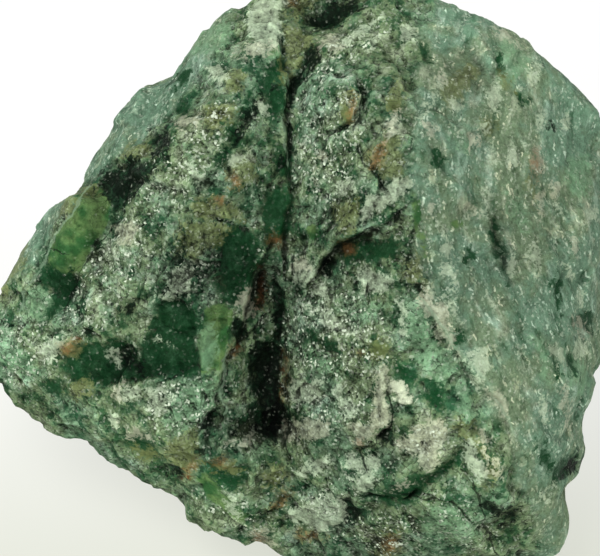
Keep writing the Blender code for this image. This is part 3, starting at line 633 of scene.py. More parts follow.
# Noises: size in mm, octaves and roughness.
CLOUDS = (1.1, 8.0, 0.75)
FRAY = (1.1, 6.0, 0.75)
MOTTLE = (2.6, 6.0, 0.66)
STREAKS = (1.7, 5.0, 0.65)
BROAD_HUE = (9.0, 2.0)
FINE_HUE = (2.2, 4.0, 0.7)
CLEAR_DEPTH = (2.6, 4.0)
CLUMPS = (1.2, 4.0, 0.65)
SEAM_PATCHES = (2.6, 3.0)

# Ramps of a noise, a random number or a distance: where a layer starts and where it is full, and its
# full share where that isn't 1.
LIGHT_RAMP = (0.38, 0.54)
PALEST_RAMP = (0.56, 0.68, 0.55)
DARK_STREAK_RAMP = (0.45, 0.33, 0.7)
PALE_STREAK_RAMP = (0.55, 0.66, 0.75)
PALE_PATCH_RAMP = (0.60, 0.66, 0.60)
COOL_RAMP = (0.72, 0.98)
CLEAR_RAMP = (0.36, 0.60)
DARK_RAMP = (0.46, 0.70)
DEEP_RAMP = (0.50, 0.74)
CLUMP_RAMP = (0.36, 0.66, 2.0)
GAP_RAMP = (1.0, 1.02)
SEAM_RAMP = (0.05, 0.01)
SEAM_PATCH_RAMP = (0.50, 0.58)
FLECK_RAMP = (0.40, 0.15)
FLECK_SHARE = 0.75  # the most that a fleck covers

# Sizes: the finer grains and chunks are these parts of the grains and chunks.
FINE_GRAIN = 0.55
BIT = 0.5
BEND_SIZE = 0.9  # the chunks' borders are bent by noise of this size, in mm
BEND_REACH = 0.9
SWEEP = 1.1  # how much more the flecks of the sheets are bent
STREAK_SHRINK = (1.0, 0.3, 0.5)  # the streaks run long where this is small
FROST_FLECKS = (0.50, 0.45)  # size, and how rare they are
DARK_FLECKS = (1.3, 0.55)

# Mottling that comes with the chunks and with the sugary rock, and of the finer hue.
CHUNK_MOTTLE = 0.11
SUGAR_MOTTLE = 0.05
FINE_HUE_SHARE = 0.7

# How each marking meets the rock: the softness of its edge, and how much it is frayed by noise, by
# the chunks and by the grains. Then how much it covers. They are laid on in this order.
MARKINGS = {
    "clear": ((0.20, 0.9, 0.3, 0.0), 0.92),
    "mint": ((0.45, 2.4, 0.6, 0.0), 0.65),
    "dark": ((0.40, 2.8, 0.9, 0.3), 0.97),
    "olive": ((0.40, 2.8, 0.8, 0.4), 0.70),
    "deep_and_shadow": ((0.35, 2.8, 1.0, 0.5), 0.98),
    "pale": ((0.25, 2.2, 0.6, 0.5), 0.72),
    "cream": ((0.25, 2.2, 0.6, 0.6), 0.52),
    "rust": ((0.70, 2.2, 0.3, 0.5), 0.70),
}
WAXY_CALM = 0.5  # how much of its grain the rock loses where it is waxy, and where it is in sheets
SHEET_CALM = 0.6
LINES = {"lit_rim": (0.20, 0.42), "crack": (0.15, 0.75)}  # half-width and share of the thin lines: painted highlight along the rims, painted shade along the cracks
LINE_CORE = 0.08  # a line is full this near its route, in mm
LINE_FRAY = 0.7

# Changes of brightness.
GRIT = 0.52  # from grain to grain
SUGARY_GRIT = 0.34  # what the sugary rock has besides
SHEET_GRIT = 0.45  # what the sheets lack of it
FINE_GRIT = 0.6  # the finer grains' random number counts this much beside a grain's
GRIT_MIDDLE = 0.8  # the mean of the two, added up
PAINTED_RIDGE_LIGHT = 3.2  # painted highlight on ridges and painted shade in crevices, for each mm that a point stands out
CHUNK_SHADE = 0.30
CLOUD_SHADE = 1.8
DARKEST = 0.12  # what is always left of a colour

# Sparkling grains, partly the pale grains' own colour and partly painted glints, and dark gaps and seams.
SPARKLE = 0.25  # how bright the painted glints of the brightest grains are
SUGARY_SPARKLE = 0.60  # what the sugary rock has besides
SPARKLE_RARITY = 7.0  # a power: the higher, the fewer grains get painted glints
WAXY_RARITY = 20.0  # what the waxy rock has besides
GAP_SHARE = 0.06  # the share of the grains that are gaps
SEAM_SHARE = 0.65  # how dark seams and gaps are
UNSEAMED = 0.7  # how much of its seams the rock loses in pale and cream markings

# Relief and gloss.
GRAIN_TILT = 0.7
CHUNK_TILT = 0.45
GRAIN_HEIGHT = 0.08
CLOUD_HEIGHT = 0.45
CHUNK_HEIGHT = 0.15
BIT_HEIGHT = 0.6
ROUGHNESS = 0.55
WAXY_POLISH = 0.15
BUMP_STRENGTH = 0.8
JADE_IOR = 1.6
JADE_SPECULAR = 0.03

# ---- Studio, in metres ---------------------------------------------------------------------

KEY_PLACE = (-0.17, -0.01, 0.45)
FILL_PLACE = (0.28, -0.32, 0.08)
LAMP_AIM = (0.0, 0.0, 0.03)
LAMP_SIZE = 0.28
FLOOR_HALF = 3.0
FLOOR_ROUGHNESS = 0.9
CLIP_START = 0.01
EYE_PLANE = 8.0  # how far out of the face frame's plane the camera is measured from, in mm


# ---- What a user may change ----------------------------------------------------------------

def colour_property(name, description, default):
    """Setting for a colour, as its linear red, green and blue."""
    return FloatVectorProperty(
        name=name, description=description, default=default, subtype="COLOR", min=0.0, max=2.0)


def length_property(name, description, default):
    """Setting for a length, in mm."""
    return FloatProperty(name=name, description=description, default=default, min=0.0)


class JadeShape(bpy.types.PropertyGroup):
    """Fineness of the broken surface."""

    squares: IntProperty(
        name="Squares", description="Squares along each edge of the starting cube",
        default=127, min=8, max=128)
    step_width: length_property("Step width", "Width of the drop at a ledge, in mm", 0.8)
    facet_height: length_property("Facet height", "Height of the 3 mm facets, in mm", 0.5)
    chip_height: length_property("Chip height", "Height of the 1.4 mm facets, in mm", 0.28)
    rib_height: length_property("Rib height", "Height of the ribs along the sheets, in mm", 0.10)


class JadeFinish(bpy.types.PropertyGroup):
    """Colours and grain of the jade."""

    grain: length_property("Grain", "Size of the sugary grains, in mm", 0.27)
    chunk: length_property("Chunk", "Size of the chunks between fine cracks, in mm", 1.5)
    light_ground: colour_property("Light ground", "Grey-green ground", (0.112, 0.172, 0.098))
    dark_ground: colour_property("Dark ground", "Darker ground", (0.022, 0.066, 0.030))
    pale_ground: colour_property("Pale ground", "Palest ground", (0.27, 0.345, 0.255))
    sheet_ground: colour_property("Sheet ground", "Even ground of the sheets", (0.120, 0.188, 0.120))
    clear: colour_property("Clear green", "Clear, see-through green", (0.100, 0.178, 0.056))
    clear_dark: colour_property("Dark clear green", "Thicker see-through green", (0.022, 0.080, 0.022))
    mint: colour_property("Mint", "Pale, even green", (0.130, 0.240, 0.130))
    dark: colour_property("Dark green", "Dark, even green", (0.004, 0.034, 0.010))
    # Nearly black green, also the colour of painted shadow in the cleft, the hollows and the cracks.
    deep_and_shadow: colour_property("Deep green", "Nearly black", (0.002, 0.006, 0.003))
    olive: colour_property("Olive", "Olive stain", (0.115, 0.135, 0.050))
    pale: colour_property("Pale", "Pale grey-green", (0.31, 0.38, 0.26))
    cream: colour_property("Cream", "Cream crust", (0.34, 0.345, 0.25))
    rust: colour_property("Rust", "Iron stain", (0.135, 0.060, 0.022))
    # Colour of the painted highlight along the thin rims.
    lit_rim: colour_property("Rim", "Thin bright edges", (0.27, 0.40, 0.26))
    # Pale of the sugary grains and flecks, and the colour of the painted glints.
    frost_and_glint: colour_property("Frost", "Bright sugary grains", (0.66, 0.75, 0.58))
    warm: colour_property("Warm tint", "Tint of the yellower rock", (1.06, 1.0, 0.88))
    cool: colour_property("Cool tint", "Tint of the bluer rock", (0.88, 1.0, 1.0))


class JadeStage(bpy.types.PropertyGroup):
    """Camera, lamps and floor."""

    lens: FloatProperty(
        name="Lens", description="Focal length, in mm", default=225.0, subtype="DISTANCE_CAMERA")
    distance: length_property("Distance", "From the camera to the broad face, in mm", 450.0)
    key: FloatProperty(name="Key", description="Power of the key lamp", default=2.4, unit="POWER")
    fill: FloatProperty(name="Fill", description="Power of the fill lamp", default=0.9, unit="POWER")
    sky: FloatProperty(name="Sky", description="Strength of the light from all round", default=0.5)
    floor: colour_property("Floor", "Colour of the floor", (0.12, 0.12, 0.11))
    # The floor's glow is painted light, brighter towards the back.
    glow_front: colour_property("Front glow", "Light through the floor in front", (0.56, 0.585, 0.485))
    glow_back: colour_property("Back glow", "Light through the floor behind", (0.86, 0.86, 0.86))
    floor_reach: FloatVectorProperty(
        name="Floor reach", description="Where the glow starts and stops rising, in m", size=2,
        default=(-0.06, 0.03), subtype="XYZ")


# ---- Noise on whole arrays of points -------------------------------------------------------

def random_at(cells, seed):
    """One fixed random number from -1 to 1 for each whole-numbered cell, by mixing its three numbers."""
    x, y, z = (cells[..., axis].astype(np.uint64) for axis in range(3))
    mixed = (x * np.uint64(73856093)) ^ (y * np.uint64(19349663)) ^ (z * np.uint64(83492791))
    mixed = (mixed + np.uint64(seed * 7919)) & np.uint64(0xFFFFFFFF)
    for shift, factor in ((16, 0x45D9F3B), (15, 0x119DE1F3)):
        mixed = ((mixed ^ (mixed >> np.uint64(shift))) * np.uint64(factor)) & np.uint64(0xFFFFFFFF)
    return (mixed ^ (mixed >> np.uint64(16))).astype(np.float64) / 2.0**31 - 1.0


def smooth_noise(points, seed):
    """Noise from -1 to 1: random numbers on a unit lattice, blended smoothly between its corners."""
    cells = np.floor(points).astype(np.int64)
    part = points - cells
    part = part * part * (3.0 - 2.0 * part)
    total = np.zeros(len(points))
    for corner in np.ndindex(2, 2, 2):
        share = np.prod(np.where(corner, part, 1.0 - part), axis=1)
        total += share * random_at(cells + np.array(corner), seed)
    return total


def layered_noise(points, octaves, seed):
    """Smooth noise with finer and fainter noise laid over it, each octave half the size and height."""
    return sum(smooth_noise(points * 2.0**n, seed + n) * 0.5**n for n in range(octaves))


def broken_facets(points, size, seed, sharpness=FACET_SHARPNESS):
    """Height of randomly tilted facets: each point takes the tilted plane of the seed point nearest it.

    The planes near a point are weighed by exp(-sharpness * distance squared), so the nearest one
    counts for nearly all and the edges between the facets are a little soft.
    """
    places = points / size
    cells = np.floor(places).astype(np.int64)
    total = np.zeros(len(points))
    weights = np.full(len(points), 1e-9)
    for offset in np.ndindex(3, 3, 3):
        cell = cells + np.array(offset) - 1
        jitter = np.stack([random_at(cell, seed + n) for n in range(3)], axis=1)
        away = places - (cell + 0.5 + FACET_JITTER * jitter)
        tilt = np.stack([random_at(cell, seed + 5 + n) for n in range(3)], axis=1)
        weight = np.exp(-sharpness * (away**2).sum(axis=1))
        total += weight * ((away * tilt).sum(axis=1) + FACET_STEP * random_at(cell, seed + 9))
        weights += weight
    return total / weights


def wandering(points, reach, size, octaves, seeds):
    """Layered noise across and up the broad face, up to about the reach."""
    return reach * np.stack([layered_noise(points / size, octaves, seed) for seed in seeds], axis=1)


def smooth_rise(value, low, high):
    """0 below low, 1 above high, and an S-curve between them."""
    share = np.clip((value - low) / (high - low), 0.0, 1.0)
    return share * share * (3.0 - 2.0 * share)


# ---- The two frames ------------------------------------------------------------------------

def face_axes():
    """The face frame's x, y and z as directions in the floor frame, one to a row."""
    lean = math.radians(FACE_LEAN_DEG)
    return np.array([
        (1.0, 0.0, 0.0),
        (0.0, math.cos(lean), math.sin(lean)),
        (0.0, -math.sin(lean), math.cos(lean)),
    ])


def on_the_floor(points):
    """Face-frame points in metres where the stone stands, its box centred on the origin."""
    placed = np.asarray(points, float) @ face_axes() - np.array((*STONE_CENTRE, REST_HEIGHT))
    return placed * MM


def to_face(points):
    """Directions or points of the floor frame, in the face frame."""
    return np.asarray(points, float) @ face_axes().T


# ---- Shape of the stone --------------------------------------------------------------------

def cube_grid(squares):
    """Points and quads of a cube's surface, from -1 to 1, each side a grid of two parameters.

    Side by side, whole-number grid points are stacked, and those that two sides share are merged.
    """
    steps = np.arange(squares + 1)
    across, up = np.meshgrid(steps, steps, indexing="ij")
    points, quads = [], []
    for axis in range(3):
        for level in (0, squares):
            start = len(points) * (squares + 1) ** 2
            side = np.stack([np.full_like(across, level), across, up], axis=-1)
            points.append(np.roll(side, axis, axis=-1).reshape(-1, 3))
            number = np.arange((squares + 1) ** 2).reshape(squares + 1, -1) + start
            corners = [number[:-1, :-1], number[1:, :-1], number[1:, 1:], number[:-1, 1:]]
            order = corners if level else corners[::-1]
            quads.append(np.stack(order, axis=-1).reshape(-1, 4))
    points, place = np.unique(np.vstack(points), axis=0, return_inverse=True)
    return points * 2.0 / squares - 1.0, place.reshape(-1)[np.vstack(quads)]


def starting_directions(cube):
    """Directions from MIDDLE to points spread over the starting ball, closer on the broad face."""
    round_cube = np.tan(cube * math.pi / 4)
    round_cube /= np.linalg.norm(round_cube, axis=1)[:, None]
    round_cube += np.array((0.0, 0.0, BALL_LIFT))
    round_cube /= np.linalg.norm(round_cube, axis=1)[:, None]
    away = np.array(BALL_CENTRE) + round_cube * np.array(BALL_RADII) - np.array(MIDDLE)
    return away / np.linalg.norm(away, axis=1)[:, None]


def block_sides():
    """Outward directions and distances from MIDDLE of the flat sides of the hull of all the corners."""
    corners = np.vstack([np.array(OUTLINE_CORNERS + LOBE_CORNERS, float), to_face(UNDERSIDE_CORNERS)])
    hull = bmesh.new()
    for corner in corners - np.array(MIDDLE):
        hull.verts.new(corner)
    bmesh.ops.convex_hull(hull, input=hull.verts)
    hull.normal_update()
    normals = np.array([face.normal[:] for face in hull.faces])
    distances = np.array([face.normal.dot(face.verts[0].co) for face in hull.faces])
    hull.free()
    return normals * np.sign(distances)[:, None], np.abs(distances)


def block_points(directions):
    """Points of the block along these directions from MIDDLE.

    The distance to a flat side in a direction is h / cos, so its inverse is the largest cos / h of
    all sides. A high power mean in place of the largest rounds the edges a little.
    """
    normals, distances = block_sides()
    facing = np.maximum(directions @ normals.T, 0.0) / distances
    largest = facing.max(axis=1)
    mean = ((facing / largest[:, None]) ** EDGE_SHARPNESS).sum(axis=1) ** (1.0 / EDGE_SHARPNESS)
    return np.array(MIDDLE) + directions / (largest * mean)[:, None]


def beside(route, x, y):
    """Signed distance from a route, above 0 on its left, and how far past its ends each point lies."""
    best = np.full(len(x), np.inf)
    side = np.zeros(len(x))
    past = np.zeros(len(x))
    for (ax, ay), (bx, by) in zip(route[:-1], route[1:]):
        length = math.hypot(bx - ax, by - ay)
        ux, uy = (bx - ax) / length, (by - ay) / length
        along = (x - ax) * ux + (y - ay) * uy
        held = np.clip(along, 0.0, length)
        distance = np.hypot(x - ax - held * ux, y - ay - held * uy)
        closer = distance < best
        best = np.where(closer, distance, best)
        side = np.where(closer, np.sign(ux * (y - ay) - uy * (x - ax)), side)
        past = np.where(closer, np.abs(along - held), past)
    return best * side, past


def face_relief(x, y, step_width):
    """Height of the valleys, steps, swells and cracks of the broad face at each point of it."""
    height = np.zeros(len(x))
    for route, left, right, depth in VALLEYS:
        across = beside(route, x, y)[0]
        share = np.hypot(across / np.where(across > 0, left, right), VALLEY_ROUNDING)
        height -= depth * np.maximum(1.0 - share, 0.0) ** VALLEY_POWER
    for route, rise, reach in STEPS:
        across, past = beside(route, x, y)
        fade = np.exp(-np.maximum(across, 0.0) / reach - (past / STEP_END) ** 2)
        height += rise * smooth_rise(across, -step_width / 2, step_width / 2) * fade
    for route, width, depth in CRACKS:
        height -= depth * np.exp(-(beside(route, x, y)[0] / width) ** 2)
    return height + swells(x, y, SWELLS)


def swells(x, y, places):
    """Sum of soft oval swells, each its rise times exp(-r squared), r being 1 on its oval."""
    total = np.zeros(len(x))
    for (cx, cy), long, wide, turn, rise in places:
        along, across = turned(x - cx, y - cy, turn)
        total += rise * np.exp(-((along / long) ** 2 + (across / wide) ** 2))
    return total


def turned(x, y, degrees):
    """How far along and across a direction, turned from x by these degrees, each point lies."""
    cos, sin = math.cos(math.radians(degrees)), math.sin(math.radians(degrees))
    return x * cos + y * sin, y * cos - x * sin


def across_sheets(points):
    """Distance across the curved sheets that the rock splits along: x less a parabola of y."""
    return points[:, 0] + SHEET_SLANT * points[:, 1] - SHEET_CURVE * points[:, 1] ** 2


def sheet_coordinates(points):
    """Each point's distance across the sheets, and its y and z."""
    return np.column_stack([across_sheets(points), points[:, 1:]])


def ledges(points):
    """Small ledges of the sheets: a leaning saw-tooth of the distance across them, bent by noise."""
    bend = LEDGE_BEND * smooth_noise(points / LEDGE_BEND_SIZE, 31)
    share = (across_sheets(points) + bend) / SHEET_SPACING
    share = share - np.floor(share)
    return smooth_rise(share, 0.0, LEDGE_RAMP) - smooth_rise(share, LEDGE_RAMP, 1.0) - 0.5


def sheet_share(points):
    """1 where the rock shows its sheets, left of the SHEET_EDGES on the broad face, 0 where granular."""
    on_face = np.zeros(len(points))
    for route, reach, size, seed, width in SHEET_EDGES:
        across = beside(route, points[:, 0], points[:, 1])[0] + reach * smooth_noise(points / size, seed)
        on_face = np.maximum(on_face, smooth_rise(across, -width, width))
    elsewhere = smooth_rise(smooth_noise(points / SHEET_PATCH_SIZE, 78), *SHEET_PATCH_EDGE)
    front = front_share(points)
    return front * on_face + (1.0 - front) * elsewhere


def front_share(points):
    """1 on the broad face, falling to 0 round its edges."""
    return smooth_rise(points[:, 2], *FRONT_EDGE)


def stone_points(directions, shape):
    """Points of the finished surface along these directions from MIDDLE, its markings and fine relief."""
    points = block_points(directions)
    share = smooth_rise(points[:, 2], RELIEF_NONE_Z, RELIEF_FULL_Z)
    wander = sum(wandering(points, *noise) for noise in ROUTE_WANDER)
    height = face_relief(points[:, 0] + wander[:, 0], points[:, 1] + wander[:, 1], shape.step_width)
    moved = points + (share * height)[:, None] * np.array((0.0, 0.0, 1.0))
    rough = LUMPS_HEIGHT * layered_noise(points / LUMPS_SIZE, LUMPS_OCTAVES, 3)
    for number, (size, rise) in enumerate(FACETS):
        rough += rise * broken_facets(points, size, 40 + 20 * number)
    rough += LEDGE_HEIGHT * (1.0 - share) * (1.0 - np.abs(directions[:, 0])) * ledges(points)
    for place, radius, depth in CHIPS:
        away = (points - np.array(place)) / radius / np.array((1.0, 1.0, CHIP_STRETCH))
        rough -= depth * np.exp(-(away**2).sum(axis=1))
    coarse = moved + rough[:, None] * directions
    fields = marking_fields(coarse)
    dark = np.maximum(fields["dark"], fields["deep_and_shadow"])
    waxy = np.maximum(smooth_rise(fields["clear"], *WAXY_EDGE), DARK_WAX * smooth_rise(dark, *DARK_WAX_EDGE))
    fine = (1.0 - WAXY_SMOOTHING * waxy) * fine_relief(moved, fields["sheet"], shape)
    fine += sum(rise * smooth_rise(fields[name], *RAISED_EDGE) for name, rise in RAISED.items())
    return cut_flat(moved + (rough + fine)[:, None] * directions), fields


def fine_relief(points, sheets, shape):
    """Small facets where the rock is granular and ribs along the sheets where it is not."""
    granular = 1.0 - SHEET_SMOOTHING * sheets
    fine = shape.facet_height * granular * broken_facets(points, FINE_FACET_SIZE, 90, FINE_SHARPNESS)
    fine += shape.chip_height * granular * broken_facets(points, CHIP_SIZE, 110, FINE_SHARPNESS)
    ribs = sheet_coordinates(points) / np.array(RIB_SIZES)
    return fine + shape.rib_height * sheets * layered_noise(ribs, 2, 130)


def cut_flat(points):
    """Draws what lies below the resting break straight towards MIDDLE, up to the break."""
    up = face_axes()[:, 2]
    height = points @ up - REST_HEIGHT
    middle = np.array(MIDDLE) @ up - REST_HEIGHT
    share = np.where(height < 0.0, middle / (middle - height), 1.0)
    return np.array(MIDDLE) + (points - np.array(MIDDLE)) * share[:, None]


# ---- Markings ------------------------------------------------------------------------------

def outline_field(x, y, corners):
    """How far inside an outline each point lies, in mm: below 0 outside it."""
    distance = np.full(len(x), np.inf)
    inside = np.zeros(len(x), bool)
    for (ax, ay), (bx, by) in zip(corners, corners[1:] + corners[:1]):
        length = (bx - ax) ** 2 + (by - ay) ** 2 + 1e-9
        held = np.clip(((x - ax) * (bx - ax) + (y - ay) * (by - ay)) / length, 0.0, 1.0)
        distance = np.minimum(distance, np.hypot(x - ax - held * (bx - ax), y - ay - held * (by - ay)))
        crosses = (ay > y) != (by > y)
        inside ^= crosses & (x < ax + (y - ay) * (bx - ax) / (by - ay if by != ay else 1.0))
    return np.where(inside, distance, -distance)


def spot_field(x, y, spot):
    """How far inside an oval each point lies, in mm: below 0 outside it."""
    cx, cy, long, wide, turn = spot
    along, across = turned(x - cx, y - cy, turn)
    return (1.0 - np.hypot(along / long, across / wide)) * min(long, wide)


def front_field(x, y, outlines, spots):
    """The largest field of all outlines and spots of one marking, each worked out only near itself."""
    best = np.full(len(x), -FIELD_REACH)
    areas = [(corners, outline_field, np.array(corners)) for corners in outlines]
    areas += [(spot, spot_field, np.array(spot[:2]) + spot[2] * np.array([(-1, -1), (1, 1)]))
              for spot in spots]
    for area, field, bounds in areas:
        (x0, y0), (x1, y1) = bounds.min(axis=0) - FIELD_REACH, bounds.max(axis=0) + FIELD_REACH
        near = np.flatnonzero((x > x0) & (x < x1) & (y > y0) & (y < y1))
        best[near] = np.maximum(best[near], field(x[near], y[near], area))
    return np.minimum(best, FIELD_REACH)


def marking_fields(points):
    """Every marking's field: its own places on the broad face, and noise above a level elsewhere."""
    x, y = (points[:, :2] + wandering(points, *MARKING_WANDER)).T
    front = front_share(points)
    stretched = sheet_coordinates(points) * np.array(SCATTER_STRETCH)
    fields = {}
    for number, (name, outlines) in enumerate(OUTLINES.items()):
        size, rarity = ELSEWHERE[name]
        scattered = layered_noise(stretched / size, 3, 200 + 10 * number)
        scattered = (scattered - rarity - FRONT_RARITY * front) * size * SCATTER_SLOPE
        on_face = front_field(x, y, outlines, SPOTS[name]) - 2.0 * FIELD_REACH * (1.0 - front)
        fields[name] = np.clip(np.maximum(on_face, scattered), -FIELD_REACH, FIELD_REACH)
    sugary = front_field(x, y, (), SUGARY)
    elsewhere = smooth_rise(smooth_noise(points / SUGAR_PATCH_SIZE, 301), *SUGAR_PATCH_EDGE)
    fields["sugar"] = front * smooth_rise(sugary, *SUGAR_EDGE) + (1.0 - front) * elsewhere
    fields["sheet"] = sheet_share(points)
    # The broad parts, partly painted light and painted shade.
    fields["tone_and_painted_light"] = front * swells(x, y, TONES_AND_PAINTED_LIGHT)
    # Lines along the cracks and the rims, for their painted shade and painted highlight.
    for name, routes in (("crack", [route for route, _, _ in CRACKS]), ("lit_rim", LIT_RIMS)):
        fields[name], nearness = line_field(x, y, routes)
        fields[name + "_near"] = front * nearness
    return fields


def line_field(x, y, routes):
    """Signed distance from the nearest route, and a share that falls from 1 to 0 away from it."""
    distances = np.stack([beside(route, x, y)[0] for route in routes])
    nearest = np.abs(distances).argmin(axis=0)
    distance = np.take_along_axis(distances, nearest[None], axis=0)[0]
    return np.clip(distance, -FIELD_REACH, FIELD_REACH), 1.0 - smooth_rise(np.abs(distance), *LINE_REACH)


# ---- Making meshes -------------------------------------------------------------------------

def ridge_field(points, quads):
    """How far each point stands out from the mean of its surroundings, in mm: below 0 in crevices.

    The mean is found by putting each point at the mean of its neighbours, RIDGE_ROUNDS times over.
    """
    ends = np.vstack([quads[:, [0, 1]], quads[:, [1, 2]], quads[:, [2, 3]], quads[:, [3, 0]]])
    ends = np.vstack([ends, ends[:, ::-1]])
    count = np.bincount(ends[:, 0], minlength=len(points))
    smooth = points
    for _ in range(RIDGE_ROUNDS):
        sums = [np.bincount(ends[:, 0], smooth[ends[:, 1], axis], len(points)) for axis in range(3)]
        smooth = np.stack(sums, axis=1) / count[:, None]
    outward = points - np.array(MIDDLE)
    outward /= np.linalg.norm(outward, axis=1)[:, None]
    return ((points - smooth) * outward).sum(axis=1)


def mesh_piece(name, points, faces, material):
    """Object of this name with these points of the face frame, placed on the floor."""
    mesh = bpy.data.meshes.new(name)
    mesh.from_pydata(on_the_floor(points), [], faces.tolist())
    mesh.materials.append(material)
    mesh.shade_smooth()
    piece = bpy.data.objects.new(name, mesh)
    bpy.context.scene.collection.objects.link(piece)
    return piece


def add_fields(piece, fields, streaks):
    """Stores the markings' fields and the coordinates along the sheets on the piece's vertices."""
    for name, values in fields.items():
        layer = piece.data.attributes.new(name, "FLOAT", "POINT")
        layer.data.foreach_set("value", values.astype(np.float32))
    layer = piece.data.attributes.new("streaks", "FLOAT_VECTOR", "POINT")
    layer.data.foreach_set("vector", streaks.astype(np.float32).ravel())


def dress(piece):
    """Says that a piece stands for the stone's solid and moves with it."""
    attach(piece, "root")
    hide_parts("jade_stone")


# ---- Materials -----------------------------------------------------------------------------

class Nodes:
    """Places and joins the nodes of one node tree."""

    def __init__(self, tree):
        self.tree = tree

    def add(self, kind, **settings):
        """A new node of this kind with these settings."""
        node = self.tree.nodes.new(kind)
        for name, value in settings.items():
            setattr(node, name, value)
        return node

    def feed(self, socket, value):
        """Joins a socket to another one, or sets its number, vector or colour."""
        if isinstance(value, bpy.types.NodeSocket):
            self.tree.links.new(value, socket)
        elif socket.type == "RGBA":
            socket.default_value = (*value, 1.0)
        else:
            socket.default_value = value

    def math(self, operation, first, second=0.0):
        node = self.add("ShaderNodeMath", operation=operation)
        self.feed(node.inputs[0], first)
        self.feed(node.inputs[1], second)
        return node.outputs[0]

    def plus(self, first, *others):
        for other in others:
            first = self.math("ADD", first, other)
        return first

    def minus(self, first, second):
        return self.math("SUBTRACT", first, second)

    def times(self, first, *others):
        for other in others:
            first = self.math("MULTIPLY", first, other)
        return first

    def larger(self, first, second):
        return self.math("MAXIMUM", first, second)

    def lessened(self, share, loss):
        """1 where the share is 0, and 1 less the loss where it is 1."""
        return self.minus(1.0, self.times(share, loss))

    def vector(self, operation, first, second):
        node = self.add("ShaderNodeVectorMath", operation=operation)
        self.feed(node.inputs[0], first)
        self.feed(node.inputs["Scale" if operation == "SCALE" else 1], second)
        return node.outputs[0]

    def rise(self, value, low, high, to=1.0):
        """An S-curve from 0 at low to the given height at high."""
        node = self.add("ShaderNodeMapRange", interpolation_type="SMOOTHSTEP")
        for socket, number in zip(node.inputs, (value, low, high, 0.0, to)):
            self.feed(socket, number)
        return node.outputs[0]

    def mix(self, share, first, second, blend="MIX"):
        node = self.add("ShaderNodeMix", data_type="RGBA", blend_type=blend)
        self.feed(node.inputs["Factor"], share)
        self.feed(node.inputs["A"], first)
        self.feed(node.inputs["B"], second)
        return node.outputs["Result"]

    def layered(self, colour, *layers):
        """A colour with others laid over it in turn, each by its share."""
        for share, over in layers:
            colour = self.mix(share, colour, over)
        return colour

    def pattern(self, kind, place, size, **settings):
        """A texture node with features of this size at this place."""
        node = self.add(kind, **settings)
        self.feed(node.inputs["Vector"], place)
        self.feed(node.inputs["Scale"], 1.0 / size)
        return node

    def noise(self, place, size, detail=2.0, roughness=0.5):
        node = self.pattern("ShaderNodeTexNoise", place, size)
        node.inputs["Detail"].default_value = detail
        node.inputs["Roughness"].default_value = roughness
        return node.outputs["Fac"]

    def bend(self, place, size, reach):
        """A place moved about by noise of this size, by up to half the reach."""
        noise = self.pattern("ShaderNodeTexNoise", place, size)
        away = self.vector("SUBTRACT", noise.outputs["Color"], (0.5, 0.5, 0.5))
        return self.vector("ADD", place, self.vector("SCALE", away, reach))

    def cells(self, place, size):
        """Random colour of the grain each point is in."""
        return self.pattern("ShaderNodeTexVoronoi", place, size).outputs["Color"]

    def seams(self, place, size):
        """Distance to the nearest border between the grains of cells(), in sizes."""
        cell = self.pattern("ShaderNodeTexVoronoi", place, size, feature="DISTANCE_TO_EDGE")
        return cell.outputs["Distance"]

    def flecks(self, place, size, rarity, fray):
        """0 to 1 in a small frayed fleck inside each cell whose random number is above the rarity."""
        cell = self.pattern("ShaderNodeTexVoronoi", place, size)
        chosen = self.rise(self.split(cell.outputs["Color"])["Red"], rarity, 1.0, FLECK_SHARE)
        distance = self.plus(cell.outputs["Distance"], fray)
        return self.times(chosen, self.rise(distance, *FLECK_RAMP))

    def split(self, colour):
        """The red, green and blue of a colour."""
        node = self.add("ShaderNodeSeparateColor")
        self.feed(node.inputs["Color"], colour)
        return node.outputs

    def attribute(self, name, output="Fac"):
        return self.add("ShaderNodeAttribute", attribute_name=name).outputs[output]


